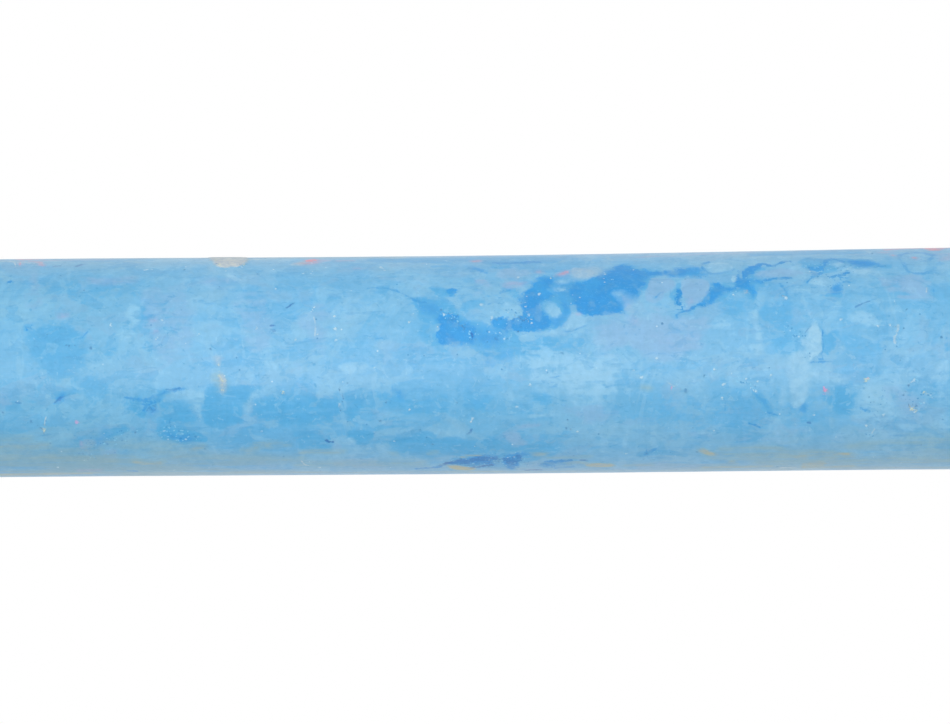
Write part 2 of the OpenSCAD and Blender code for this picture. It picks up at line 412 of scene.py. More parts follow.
        (27.16, 2.3), (26.83, 2.65), (26.61, 2.6), (26.76, 1.7), (26.86, .96), (26.97, .23), (27.24, .19),
        (27.27, 1.05)]),
    ("pale", 0.12, 0.6, [
        (26.13, -1.14), (25.93, -1.16), (25.91, -1.61), (26.02, -2.11), (26.18, -2.04)]),
    ("pale", 0.2, 0.75, [
        (44.93, -1), (44.67, -1.03), (44.65, -1.42), (44.73, -1.83), (44.94, -1.75)]),
    ("pale", 0.35, 0.5, [
        (46.13, .07), (45.22, .15), (44.5, 0), (44.68, -.59), (45.6, -.76), (46.05, -.48)]),
    ("pale", 0.1, 0.82, [
        (49.66, -1.07), (49.9, -1.29), (50.18, -1.6), (50.27, -1.97), (50.39, -2.21), (50.53, -2.12),
        (50.43, -1.79), (50.28, -1.48), (50.03, -1.15)]),
    ("pale", 0.3, 0.4, [
        (53.41, -1.19), (52.96, -1.1), (52.46, -1.01), (52.3, -1.25), (52.31, -1.92), (52.39, -2.52),
        (52.61, -2.21), (52.83, -1.72), (53.15, -1.43)]),
    ("pale", 0.35, 0.55, [
        (57.71, 1.33), (57.21, 1.4), (56.8, 1.28), (56.89, 1), (57.48, .96)]),
    ("pale", 0.35, 0.6, [
        (56.21, 2.76), (55.39, 2.86), (55.3, 2.13), (55.48, 1.45), (56.12, 1.55)]),
    ("lilac", 0.2, 0.75, [
        (57.84, -3.82), (57.56, -3.58), (57.3, -3.83), (57.27, -4.37), (57.51, -4.82), (57.82, -4.58)]),
    ("lilac", 0.25, 0.7, [
        (57.23, -4.67), (56.77, -4.45), (56.41, -4.68), (56.7, -5.18), (57.21, -5.26)]),
    ("lilac", 0.2, 0.62, [
        (56.18, -3.01), (55.72, -2.94), (55.46, -3.25), (55.83, -3.48)]),
    ("pale", 0.1, 0.7, [
        (51.36, 5), (51, 4.91), (50.63, 4.61), (50.26, 4.27), (50.4, 4.15), (50.81, 4.42), (51.22, 4.7)]),
    ("pale", 0.2, 0.5, [
        (48.03, 4.5), (47.57, 4.2), (47.12, 3.68), (47.48, 3.74)]),
    ("pale", 0.08, 0.85, [
        (45.8, -3.74), (45.68, -3.65), (45.5, -3.73), (45.52, -3.93), (45.73, -3.95)]),
    ("pale", 0.2, 0.6, [
        (41.75, 1.98), (41.53, 1.91), (41.58, 1.52), (41.78, 1.59)]),
    ("lilac", 0.25, 0.75, [
        (38.8, -3.23), (38.35, -3.15), (37.98, -3.35), (37.9, -3.84), (38.35, -4.09), (38.76, -3.83)]),
    ("pale", 0.9, 0.55, [
        (37.94, 1.26), (36.13, 1.15), (34.32, .49), (33.33, -.15), (33.25, -1.35), (34.34, -1.91),
        (36.15, -1.6), (37.51, -.75), (38.14, .35)]),
    ("pale", 0.4, 0.5, [
        (34.31, 1.04), (33.59, .94), (33.51, -.06), (34.14, -.15)]),
    ("pale", 0.4, 0.55, [
        (22.75, 2.14), (21.93, 2.23), (21.3, 1.92), (21.41, 1.36), (22.23, 1.32), (22.77, 1.56)]),
    ("pale", 0.3, 0.7, [
        (22.25, -1.08), (21.62, -.99), (21.07, -1.37), (21.07, -2.13), (21.34, -2.64), (21.88, -2.58),
        (22.21, -1.93)]),
    ("pale", 0.4, 0.45, [
        (29.74, 2.75), (29.03, 1.83), (27.94, 1.62), (27.77, 1.15), (29.04, 1.07), (29.86, 1.36)]),
    ("pale", 0.4, 0.4, [
        (50.21, .98), (49.08, .96), (48.58, .45), (49.31, -.27), (50.22, -.07)]),
    ("pale", 0.3, 0.55, [
        (49.3, .92), (49.08, .96), (49.08, .46), (49.31, .42)]),
    ("pale", 0.4, 0.25, [
        (54.3, .28), (53.58, .23), (52.94, .13), (53.04, -.59), (53.86, -.77), (54.31, -.58)]),
    ("lilac", 0.7, 0.8, [
        (34.85, 2), (33.75, 2.18), (32.02, 2.26), (30.2, 2.34), (29.21, 2.02), (29.22, 1.08), (29.96, .26),
        (31.42, .01), (32.51, .11), (33.77, .57), (34.67, 1.14)]),
    ("lilac", 0.35, 0.85, [
        (21.43, 3.88), (20.61, 3.99), (19.42, 3.9), (19.12, 3.59), (19.14, 3.02), (19.55, 2.86), (20.64, 2.88),
        (21.28, 3)]),
    ("lilac", 0.5, 0.6, [
        (55.22, 3.92), (54.05, 4.3), (52.94, 3.76), (52.66, 1.71), (53.4, .32), (54.76, .24), (55.12, 1.74)]),
    ("lilac", 0.4, 0.7, [
        (60.45, 5.03), (59.9, 5.2), (59.77, 3.6), (59.85, 2.7), (60.21, 2.7), (60.5, 3.49)]),
    ("lilac", 0.4, 0.5, [
        (51.21, 3.49), (49.76, 3.71), (49.03, 2.68), (49.03, .64), (49.67, .1), (50.66, 1.21)]),
    ("lilac", 0.5, 0.5, [
        (47.93, 2.66), (46.93, 3.2), (46.21, 2.13), (46.58, .62), (47.4, .26)]),
    ("lilac", 0.4, 0.6, [
        (46.52, -5.02), (45.65, -4.87), (44.47, -4.97), (44.29, -5.64), (44.58, -6.27), (45.77, -6.23),
        (46.49, -5.94)]),
    ("lilac", 0.5, 0.6, [
        (36.34, -1.79), (34.79, -1.91), (33.52, -1.82), (33.43, -2.52), (34.62, -2.72), (36.16, -2.49)]),
    ("lilac", 0.5, 0.55, [
        (40.28, 4.22), (39.28, 3.94), (38.83, 3.32), (39.47, 3.1), (40.2, 3.45)]),
    ("lilac", 0.3, 0.55, [
        (32.51, -5.77), (31.05, -5.75), (29.49, -5.83), (29.48, -6.88), (32.5, -6.86)]),
    ("lilac", 0.5, 0.6, [
        (21.62, -1.27), (20.44, -1.47), (19.62, -1.76), (19.79, -3.08), (20.7, -3.07)]),
    ("lilac", 0.35, 0.7, [
        (38.82, 5.3), (37.9, 5.48), (37.17, 5.26), (37.18, 4.6), (37.91, 4.25), (38.82, 4.41)]),
    ("crust", 0.2, 0.42, [
        (35.67, 5.23), (34.71, 5.3), (34.16, 5.14), (34.26, 4.73), (34.81, 4.4), (35.54, 4.34)]),
    ("pink", 0.1, 0.95, [
        (60.84, 6.04), (60.78, 6.77), (60.58, 7.17), (60.58, 6.38), (60.72, 5.96)]),
    ("pink", 0.35, 0.24, [
        (52.59, 4.5), (51.95, 4.79), (50.77, 4.62), (51.31, 4.26), (52.31, 4.21)]),
    ("pink", 0.1, 1, [
        (47.82, 6.59), (47.51, 6.92), (47.05, 6.85), (47.22, 6.32), (47.68, 6.16)]),
    ("pink", 0.12, 0.72, [
        (48.32, 5.99), (47.86, 6.32), (46.77, 6.83), (46.95, 6.22), (47.68, 5.8)]),
    ("pink", 0.1, 0.75, [
        (40.25, 6.28), (39.91, 6.49), (39.59, 6.34), (39.73, 5.98), (40.09, 5.94)]),
    ("pink", 0.14, 0.68, [
        (38.76, 4.1), (38.46, 4.19), (38.05, 4.19), (37.57, 4.2), (37.64, 4.01), (38.1, 3.92), (38.46, 3.81),
        (38.71, 3.89)]),
    ("pink", 0.2, 0.5, [
        (40.1, 4.08), (39.74, 4.18), (39.42, 4.14), (39.56, 3.88), (39.97, 3.88)]),
    ("pink", 0.12, 0.7, [
        (37.27, 5.09), (36.99, 5.22), (36.83, 4.99), (36.99, 4.83), (37.22, 4.88)]),
    ("pink", 0.1, 0.8, [
        (36.48, 4.55), (36.22, 4.84), (35.94, 5.11), (35.62, 5.19), (35.64, 4.83), (35.95, 4.62), (36.27, 4.61)]),
    ("pink", 0.08, 0.95, [
        (19.54, 7.67), (18.8, 7.8), (18.28, 7.32), (18.67, 6.66), (19.31, 6.75)]),
    ("pink", 0.1, 0.85, [
        (20.1, 5.73), (19.89, 5.89), (19.65, 5.69), (19.84, 5.49)]),
    ("pink", 0.1, 0.8, [
        (21.04, 6.11), (20.89, 6.22), (20.71, 5.97), (20.9, 5.85)]),
    ("pink", 0.15, 0.5, [
        (21.6, 6.54), (21.13, 6.94), (20.68, 6.76), (21.07, 6.25)]),
    ("pink", 0.2, 0.5, [
        (18.96, 6.24), (18.22, 6.42), (18.25, 5.75), (18.8, 5.73)]),
    ("pink", 0.2, 0.5, [
        (30.15, 3.02), (30.01, 3.1), (30.1, 2.8), (30.29, 2.54), (30.47, 2.44)]),
    ("pink", 0.3, 0.4, [
        (32.84, 2.37), (32.57, 2.27), (32.62, 1.92), (32.85, 1.97)]),
    ("pink", 0.6, 0.12, [
        (32.04, 1.48), (30.68, 1.28), (29.77, .99), (30.23, .54), (31.59, .73)]),
    ("crust", 0.05, 1, [
        (52.18, 7.86), (52.09, 6.7), (51.94, 6.4), (51.86, 5.99), (51.7, 5.79), (51.42, 5.61), (51.1, 5.75),
        (50.74, 5.72), (50.47, 6.14), (50.31, 6.74), (50.32, 7.71)]),
    ("crust", 0.12, 0.6, [
        (48.41, 5.82), (48.05, 6.2), (47.77, 6.25), (47.86, 5.86)]),
    ("pale", 0.05, 0.9, [
        (28.23, 4.39), (28.06, 4.44), (28.05, 4.13), (28.12, 3.94), (28.23, 4.07)]),
    ("crust", 0.06, 0.9, [
        (27.77, 3.24), (27.71, 3.42), (27.59, 3.45), (27.5, 3.23), (27.62, 3.3)]),
    ("crust", 0.1, 0.7, [
        (51.73, .4), (51.6, .39), (51.56, .12), (51.65, -.06), (51.73, .12)]),
    ("crust", 0.12, 0.62, [
        (51.68, -.33), (51.49, -.29), (51.32, -.61), (51.37, -.89), (51.46, -1.14), (51.58, -1.11),
        (51.59, -.79), (51.7, -.56)]),
    ("ochre", 0.25, 0.6, [
        (51.77, -.24), (51.4, -.2), (51.23, -.61), (51.32, -1.07), (51.6, -1.16), (51.77, -.7)]),
    ("ochre", 0.35, 0.42, [
        (56.93, -3.87), (55.75, -3.79), (53.01, -3.76), (52.76, -4.59), (54.86, -4.71), (56.59, -4.45)]),
    ("ochre", 0.2, 0.8, [
        (56.07, -5.34), (55.69, -5.02), (54.96, -4.92), (54.1, -5.02), (54.15, -5.32), (54.98, -5.4),
        (55.62, -5.49)]),
    ("ochre", 0.15, 0.62, [
        (53.21, -4.22), (52.74, -3.89), (52.29, -3.84), (52.11, -4.17), (52.57, -4.37), (53.03, -4.44)]),
    ("ochre", 0.18, 0.62, [
        (50.84, -4.26), (50.2, -4.06), (49.29, -4.01), (48.38, -4.06), (48.47, -4.36), (49.48, -4.54),
        (50.48, -4.55)]),
    ("ochre", 0.2, 0.5, [
        (52.04, -4.84), (51.49, -4.69), (50.94, -4.82), (51.13, -5.14), (51.78, -5.24)]),
    ("ochre", 0.08, 1, [
        (41.34, -5.71), (41.14, -5.76), (40.92, -5.74), (40.37, -5.97), (39.87, -6.25), (40.28, -6.58),
        (40.92, -6.45), (41.19, -6.13)]),
    ("ochre", 0.15, 0.7, [
        (37.58, -4.68), (37.17, -4.53), (36.67, -4.74), (36.8, -5.01), (37.26, -5.01)]),
    ("ochre", 0.1, 0.92, [
        (35.11, -5.79), (34.52, -5.62), (33.7, -5.75), (33.6, -6.13), (34.33, -6.28), (34.97, -6.12)]),
    ("ochre", 0.15, 0.62, [
        (32.52, -1.03), (32.15, -.99), (31.88, -1.11), (32.06, -1.28), (32.47, -1.26)]),
    ("ochre", 0.1, 0.95, [
        (29.84, -4.55), (29.65, -4.42), (29.42, -4.59), (29.14, -4.82), (28.87, -4.96), (29.09, -5.18),
        (29.5, -5.03), (29.78, -4.82)]),
    ("ochre", 0.1, 1, [
        (23.76, -5.02), (23.49, -4.91), (23.03, -4.91), (22.74, -4.98), (23.02, -5.19), (23.48, -5.2),
        (23.73, -5.15)]),
    ("ochre", 0.15, 0.75, [
        (28.58, -5.73), (28.31, -5.48), (28.04, -5.59), (28.08, -5.9), (28.44, -5.97)]),
    ("ochre", 0.15, 0.75, [
        (25.58, -5.18), (24.94, -4.97), (24.66, -5.28), (24.93, -5.68), (25.48, -5.56)]),
    ("ochre", 0.12, 0.85, [
        (25.2, -5.9), (24.65, -5.73), (24.06, -5.73), (23.96, -6.19), (24.53, -6.8), (25.13, -6.78)]),
    ("ochre", 0.4, 0.42, [
        (20.23, -3.65), (19.32, -3.54), (18.59, -3.79), (18.56, -4.75), (19.47, -4.9), (20.12, -4.44)]),
    ("fleck", 0.3, 0.9, [
        (39.67, 1.66), (38.62, 1.65), (38.49, 1.08), (39.58, 1)]),
    ("fleck", 0.3, 0.7, [
        (39.02, 2.35), (37.93, 2.44), (37.62, 1.93), (38.3, 1.65), (38.98, 1.85)]),
    ("fleck", 0.3, 0.65, [
        (25.95, 1.6), (24.94, 1.78), (24.78, .93), (24.97, .21), (25.69, .4)]),
    ("fleck", 0.4, 0.5, [
        (22.25, -1.08), (21.07, -1.28), (21.16, -2.64), (22.16, -2.53)]),
    ("fleck", 0.3, 0.8, [
        (54.18, -2.93), (52.63, -3.06), (52.65, -3.83), (54.2, -3.75)]),
    ("fleck", 0.3, 0.6, [
        (58.59, -4.35), (56.18, -2.9), (55.27, -3.03), (56.13, -4.39), (57.35, -5.35), (58.44, -5.14)]),
    ("fleck", 0.3, 0.7, [
        (41.28, -4.94), (37.53, -4.53), (37.53, -6.32), (40.28, -6.4)]),
    ("fleck", 0.3, 0.5, [
        (32.52, -4.45), (30.51, -4.47), (30.5, -5.48), (32.42, -5.45)]),
    ("fleck", 0.3, 0.6, [
        (24.93, 5.51), (22.83, 5.44), (22.89, 3.78), (24.9, 3.69)]),
    ("fleck", 0.2, 0.8, [
        (27.84, -.66), (27.25, -.76), (26.98, -1.41), (27.25, -1.78), (27.7, -1.4)]),
    ("fleck", 0.2, 0.8, [
        (20.71, -.64), (20.07, -.74), (20.16, -1.28), (20.62, -1.19)]),
    ("fleck", 0.2, 0.8, [
        (22.42, -3.28), (21.69, -3.29), (21.68, -3.89), (22.32, -3.82)]),
    ("fleck", 0.25, 0.7, [
        (20.71, -1.46), (19.71, -.92), (19.44, -1.86), (19.88, -2.65), (20.61, -2.24)]),
    ("fleck", 0.3, 0.45, [
        (34.25, 5.02), (33.7, 5.18), (33.82, 3.97), (34.36, 3.85)]),
]

# strokes: kind, width, softness, strength, path
STROKES = [
    ("deep", 0.202, 0.05, 1, [(30.7, 3.61), (30.7, 2.81)]),
    ("ochre", 0.453, 0.4, 0.6, [(29.23, -5.04), (26.13, -5.17), (22.93, -5.4)]),
    ("ochre", 0.573, 0.4, 0.5, [(27.03, -5.87), (22.46, -5.83), (18.35, -5.77)]),
    ("ochre", 0.279, 0.3, 0.5, [(61.68, -4.23), (59.41, -4.33), (57.13, -4.23)]),
    ("deep", 0.116, 0.05, 0.85, [(29.52, 2.61), (29.81, 2.72), (30.11, 2.5)]),
    ("line", 0.067, 0.06, 0.8, [(30.11, 2.5), (30.31, 2.4), (30.8, 2.24), (30.8, 2.1)]),
    ("deep", 0.123, 0.06, 0.8, [(26.8, 4.07), (26.52, 4.16), (26.02, 4.24), (25.61, 4.21)]),
    ("deep", 0.207, 0.07, 0.75, [(23.98, 5.48), (23.69, 5.74), (23.38, 5.62), (23.09, 5.4)]),
    ("line", 0.154, 0.06, 0.85, [(26.78, 5.41), (26.5, 5.12), (26.19, 5.22), (25.88, 5.54), (25.58, 5.59)]),
    ("line", 0.127, 0.05, 0.75, [(29.6, 5.08), (29.54, 5.52), (29.3, 5.62)]),
    ("line", 0.11, 0.05, 0.45, [(29.47, 4.94), (29.22, 4.64), (28.88, 4.56), (28.53, 4.69), (28.14, 4.89)]),
    ("line", 0.09, 0.07, 0.6, [(26.08, 3.79), (25.9, 3.5), (25.75, 3.18)]),
    ("line", 0.064, 0.05, 0.65, [(31.74, 3.13), (31.55, 3.35), (31.41, 3.44)]),
    ("line", 0.177, 0.06, 0.9, [(24.56, 4.51), (24.42, 4.44), (24.23, 4.52)]),
    ("line", 0.08, 0.05, 0.8, [(24.81, 3.88), (24.7, 4.1), (24.58, 4.2)]),
    ("line", 0.121, 0.06, 0.9, [(23.8, 4.2), (23.51, 4.28), (23.23, 4.38), (22.97, 4.52)]),
    ("line", 0.084, 0.06, 0.7, [(23.2, 3.92), (23.02, 3.94), (22.86, 3.87)]),
    ("line", 0.099, 0.05, 0.8, [(21.69, 4.88), (21.48, 4.94), (21.3, 4.95)]),
    ("line", 0.195, 0.07, 0.42, [(20.65, 5.58), (20.61, 5.98), (20.46, 6.17), (19.84, 6.38), (19.18, 6.22), (18.97, 6.07), (19.11, 5.63), (19.35, 5.38)]),
    ("line", 0.123, 0.07, 0.42, [(20.44, 5.2), (20.33, 4.81), (20.18, 4.5), (19.87, 4.37), (19.48, 4.4), (19.08, 4.58)]),
    ("rich", 0.413, 0.1, 1, [(39.45, 5.97), (38.58, 5.89), (37.44, 5.93), (36.16, 6.04)]),
    ("deep", 0.206, 0.08, 0.8, [(39.09, 5.96), (38.13, 5.88), (36.98, 5.94)]),
    ("rich", 0.222, 0.1, 0.95, [(39.18, 5.51), (38.68, 5.42), (38.08, 5.56)]),
    ("rich", 0.688, 0.3, 0.8, [(44.48, 6.63), (40.18, 6.54), (35.51, 6.57)]),
    ("rich", 0.688, 0.3, 0.8, [(27.09, 6.68), (22.51, 6.8)]),
    ("rich", 0.183, 0.12, 0.75, [(42.28, 6.18), (41.69, 6.07), (41.1, 6.03)]),
    ("rich", 0.157, 0.12, 0.6, [(41.87, 5.56), (41.19, 5.61)]),
    ("line", 0.064, 0.08, 0.42, [(44.88, 3.92), (44.25, 3.94), (43.68, 3.81)]),
    ("line", 0.089, 0.1, 0.55, [(43.68, 3.81), (43.38, 3.65), (42.97, 3.35), (42.56, 3.13), (42.11, 3.02)]),
    ("line", 0.047, 0.08, 0.5, [(44.49, 1.24), (44.26, 1.21), (43.99, 1.24)]),
    ("line", 0.092, 0.07, 0.62, [(38.8, 3.59), (38.6, 3.64), (38.36, 3.67)]),
    ("line", 0.066, 0.07, 0.5, [(39.34, 2.93), (39.11, 3.05), (38.76, 2.92)]),
    ("line", 0.068, 0.08, 0.5, [(35.87, 1.5), (35.53, 1.52), (35.26, 1.64), (34.98, 1.74)]),
    ("line", 0.06, 0.06, 0.6, [(36.63, -.6), (36.42, -.59), (36.15, -.57)]),
    ("line", 0.061, 0.06, 0.45, [(36.63, -1.03), (36.38, -1.02)]),
    ("line", 0.059, 0.06, 0.85, [(60.3, 1.8), (60.16, 1.92), (60.05, 2.03)]),
    ("line", 0.059, 0.06, 0.8, [(60.34, 1.94), (60.21, 1.88), (60.07, 1.81)]),
    ("line", 0.133, 0.06, 0.85, [(61.23, 4.45), (61.07, 4.53)]),
    ("line", 0.048, 0.06, 0.65, [(57.57, 1.67), (57.73, 1.5), (57.89, 1.34)]),
    ("deep", 0.123, 0.14, 0.62, [(55.92, -1.37), (55.55, -1.47), (55.19, -1.52), (54.78, -1.41), (54.32, -1.23), (53.78, -1.07), (53.18, -.98)]),
    ("deep", 0.093, 0.12, 0.65, [(55.07, -2.04), (54.95, -1.77), (54.69, -1.65), (54.33, -1.51)]),
    ("line", 0.055, 0.05, 0.75, [(53.87, -2.4), (53.95, -2.58), (53.86, -2.81)]),
    ("deep", 0.148, 0.26, 0.3, [(27.3, -1.59), (27.05, -1.69), (26.85, -1.93), (26.7, -2.13)]),
    ("rich", 0.32, 0.3, 0.6, [(27.3, -1.55), (27.02, -1.74), (26.7, -2.18)]),
    ("line", 0.068, 0.06, 0.72, [(26.75, -2.43), (26.51, -2.47), (26.28, -2.57)]),
    ("line", 0.085, 0.06, 0.75, [(27.54, -3), (27.34, -3.06), (27.12, -3.23)]),
    ("line", 0.046, 0.06, 0.4, [(28.66, -1.82), (28.66, -2.31)]),
    ("rich", 0.252, 0.3, 0.95, [(58.46, -4.46), (58.38, -4.72), (58.29, -4.97)]),
    ("dark", 0.212, 0.05, 0.85, [(41.53, -5.77), (41.37, -5.6), (41.21, -5.48)]),
    ("dark", 0.342, 0.3, 0.6, [(40.91, -5.5), (40.09, -5.28), (39.27, -5.2)]),
    ("dark", 0.301, 0.3, 0.6, [(38.63, -5.25), (38.31, -5.66), (37.99, -5)]),
    ("deep", 0.183, 0.06, 0.8, [(42.72, -6.23), (42.2, -6.13), (41.51, -5.92)]),
    ("dark", 0.161, 0.05, 0.9, [(40.23, -6.13), (39.82, -5.98), (39.36, -5.77)]),
    ("dark", 0.126, 0.05, 0.85, [(37.69, -6.59), (37.35, -6.49), (37.04, -6.47)]),
    ("deep", 0.267, 0.06, 0.95, [(36.9, -5.69), (36.53, -5.54), (36.16, -5.49), (35.75, -5.42)]),
    ("deep", 0.161, 0.06, 0.75, [(36.8, -6), (36.53, -5.76)]),
    ("deep", 0.161, 0.07, 0.62, [(36.34, -6.32), (35.98, -6.21), (35.61, -6.13)]),
    ("dark", 0.115, 0.05, 0.6, [(35.21, -5.37), (34.93, -5.35)]),
    ("deep", 0.172, 0.08, 0.6, [(32.32, -4.96), (32.15, -4.66), (31.88, -4.53)]),
    ("rich", 0.327, 0.2, 0.7, [(32.52, -4.91), (31.61, -4.68), (30.51, -5.02)]),
    ("rich", 0.218, 0.15, 0.7, [(52.58, -4.44), (52.31, -4.91), (51.96, -5.47)]),
    ("rich", 0.251, 0.15, 0.7, [(51.6, -5.42), (50.87, -5.39), (50.04, -5.31)]),
    ("rich", 0.19, 0.15, 0.6, [(28.55, -5.07), (27.5, -5.06), (26.31, -5.03)]),
    ("rich", 0.263, 0.15, 0.55, [(47.22, -5.58), (46.58, -5.82)]),
    ("deep", 0.183, 0.07, 0.6, [(55.87, -6.2), (55.51, -6.27)]),
    ("rich", 0.138, 0.2, 0.6, [(25.07, -1.71), (24.98, -2.4), (25.11, -2.81)]),
    ("deep", 0.103, 0.1, 0.6, [(22.48, -2.24), (22.29, -2.39), (22.11, -2.41)]),
    # these two dark lines along the right edge of the raised pale flake are painted shadow, not cracks
    ("line", 0.069, 0.05, 0.85, [(24.18, 1.39), (24.14, 1.22), (24.17, 1.06)]),
    ("line", 0.041, 0.05, 0.7, [(24.17, 1.06), (24.16, .52), (24.35, .22)]),
    ("line", 0.073, 0.06, 0.72, [(24.75, -.09), (24.43, -.08), (24.06, -.06), (23.79, -.11)]),
    ("pale", 0.156, 0.25, 0.4, [(37.63, -2.48), (37.16, -2.43), (36.64, -2.42)]),
    ("lilac", 0.166, 0.2, 0.75, [(37.94, -2.99), (37.53, -2.95), (37.12, -2.93)]),
    ("pale", 0.073, 0.25, 0.3, [(36.61, -2.34), (36.48, -2.65), (36.39, -2.97)]),
    ("pale", 0.101, 0.1, 0.6, [(20.72, 1.58), (20.82, 1.16), (20.92, .76)]),
    ("pale", 0.055, 0.08, 0.55, [(47.3, 2.34), (47.21, 1.89), (47.26, 1.37)]),
    ("lilac", 0.122, 0.12, 1, [(20.75, 2.99), (20.14, 2.94), (19.53, 2.97)]),
    ("line", 0.05, 0.08, 0.4, [(19.14, 3.36), (19.14, 2.8)]),
    ("pink", 0.275, 0.1, 0.95, [(60.94, 7.44), (60.52, 7.17), (59.8, 7.5)]),
    ("pink", 0.275, 0.12, 0.75, [(60.27, 6.74), (59.95, 6.73), (59.7, 6.06)]),
    ("pink", 0.206, 0.2, 0.4, [(59.73, 6.96), (58.5, 6.99), (56.67, 7.07)]),
    ("pink", 0.301, 0.3, 0.26, [(57.42, 4.58), (56.6, 4.52), (55.6, 4.62)]),
    ("pink", 0.229, 0.15, 0.6, [(47.13, 6.45), (46.68, 6.54)]),
    ("pink", 0.183, 0.15, 0.5, [(46.22, 6.42), (45.58, 6.49)]),
    ("ochre", 0.344, 0.3, 0.5, [(61.74, 7.69), (58.05, 7.43), (54.39, 7.42)]),
    ("ochre", 0.344, 0.3, 0.55, [(54.39, 7.42), (49.8, 7.33), (43.39, 7.21)]),
    ("ochre", 0.344, 0.3, 0.4, [(21.83, 7.72), (17.7, 7.88)]),
    ("pink", 0.367, 0.1, 0.85, [(21.12, 7.15), (20.24, 7.43), (19.31, 7.64), (18.17, 7.56)]),
    ("pink", 0.135, 0.15, 0.5, [(58.8, 2.45), (58.51, 2.47)]),
    ("pink", 0.122, 0.12, 0.55, [(54.69, 2.21), (54.53, 2.23)]),
    ("pink", 0.097, 0.12, 0.5, [(54.57, 1.63), (54.43, 1.65)]),
    ("pink", 0.181, 0.12, 0.5, [(45.5, 5.47), (45.3, 5.5)]),
    ("pink", 0.092, 0.12, 0.5, [(35.39, 2.31), (35.2, 2.33)]),
    ("pink", 0.064, 0.08, 0.5, [(57.91, -3.69), (57.94, -3.95), (57.91, -4.19)]),
    ("pink", 0.206, 0.2, 0.4, [(58.11, -6.13), (57.19, -6.16)]),
    ("pink", 0.161, 0.2, 0.35, [(32.4, 6.48), (30.11, 6.74), (27.36, 7.05)]),
    ("crust", 0.183, 0.08, 0.65, [(50.3, 6.83), (49.7, 6.9), (49.16, 6.97)]),
    ("crust", 0.206, 0.15, 0.42, [(61.7, 6.81), (59.85, 6.36)]),
    ("crust", 0.051, 0.05, 0.85, [(31.25, -.89), (31.09, -.97), (30.9, -1.08)]),
    ("crust", 0.101, 0.05, 0.85, [(47.97, -5.3), (47.86, -5.5), (47.72, -5.7)]),
    ("crust", 0.041, 0.05, 0.8, [(59.57, -2.7), (59.51, -2.52), (59.46, -2.34)]),
    ("crust", 0.115, 0.05, 0.75, [(26.09, -6.59), (25.73, -6.6), (25.36, -6.57)]),
    ("crust", 0.05, 0.05, 0.75, [(21.94, -3.55), (21.85, -3.34)]),
    ("crust", 0.041, 0.05, 0.7, [(19.45, 3.48), (19.47, 3.17)]),
    ("crust", 0.046, 0.05, 0.7, [(61, 6.5), (60.95, 5.92)]),
    ("ochre", 0.491, 0.4, 0.55, [(61.71, -4.74), (58.97, -4.71), (56.7, -5.18)]),
    ("ochre", 0.18, 0.3, 0.5, [(61.66, -3.52), (60.29, -3.46)]),
    ("ochre", 0.421, 0.4, 0.5, [(53.5, -4.89), (50.77, -5.03), (48.03, -4.99)]),
    ("ochre", 0.412, 0.4, 0.5, [(48.04, -5.56), (45.3, -5.52), (42.56, -5.57)]),
    ("ochre", 0.281, 0.3, 0.5, [(22.95, -4.41), (20.67, -4.29), (18.4, -4.18)]),
    ("ochre", 0.409, 0.3, 0.5, [(22.46, -5.6), (20.18, -5.53), (18.36, -5.45)]),
    ("ochre", 0.329, 0.25, 0.62, [(61.68, -4.02), (60.76, -3.97), (59.53, -3.99)]),
    ("ochre", 0.222, 0.2, 0.62, [(48.02, -4.56), (47.02, -4.5), (46.06, -4.47)]),
    ("ochre", 0.169, 0.15, 0.5, [(43.89, -4.66), (43.64, -4.65)]),
    ("ochre", 0.182, 0.15, 0.55, [(42.21, -4.64), (41.87, -4.58)]),
    ("ochre", 0.099, 0.06, 0.9, [(40.64, -5.02), (40.23, -4.86), (39.77, -4.82)]),
    ("ochre", 0.174, 0.15, 0.5, [(36.67, -5.05), (35.89, -5.12), (34.8, -5.05)]),
    ("ochre", 0.261, 0.15, 0.6, [(35.8, -5.73), (35.43, -5.63), (35.07, -5.68)]),
    ("ochre", 0.229, 0.15, 0.55, [(33.15, -6.06), (32.05, -5.97)]),
    ("ochre", 0.254, 0.2, 0.55, [(28.87, -4.59), (27.5, -4.52), (26.18, -4.52)]),
    ("ochre", 0.21, 0.2, 0.55, [(26.18, -4.67), (25.22, -4.89), (24.67, -4.93)]),
    ("ochre", 0.3, 0.2, 0.6, [(25.22, -4.92), (24.49, -4.9), (23.67, -4.99)]),
    ("ochre", 0.344, 0.25, 0.7, [(29.53, -6.4), (28.16, -6.4), (26.56, -6.37)]),
    ("ochre", 0.367, 0.2, 0.7, [(24.9, -6.66), (23.81, -6.61), (22.8, -6.46)]),
    ("ochre", 0.367, 0.12, 0.8, [(62.25, -6.76), (59.96, -6.69), (57.67, -6.63)]),
    ("ochre", 0.298, 0.15, 0.62, [(57.67, -6.56), (54.47, -6.66), (50.81, -6.66), (46.69, -6.72)]),
    ("ochre", 0.275, 0.15, 0.55, [(46.69, -6.72), (42.57, -6.77), (40.28, -6.78)]),
    ("ochre", 0.298, 0.12, 0.7, [(40.28, -6.87), (38.91, -6.84)]),
    ("ochre", 0.206, 0.15, 0.5, [(38.91, -6.94), (32.5, -6.91), (26.09, -6.95)]),
    ("ochre", 0.252, 0.15, 0.55, [(26.09, -6.9), (22.42, -6.91), (17.85, -6.85)]),
    ("ochre", 0.197, 0.15, 0.5, [(54.42, -5.13), (54.15, -5.19)]),
    ("fleck", 0.35, 0.3, 0.9, [(41.52, 2.53), (41.02, 2.32), (40.53, 1.82), (40.12, 1.38)]),
    ("dark", 0.113, 0.05, 0.95, [(46.84, -3.68), (46.7, -3.8), (46.55, -3.84)]),
    ("dark", 0.072, 0.05, 0.85, [(48.59, 2.79), (48.45, 2.88), (48.34, 3), (48.21, 3.05)]),
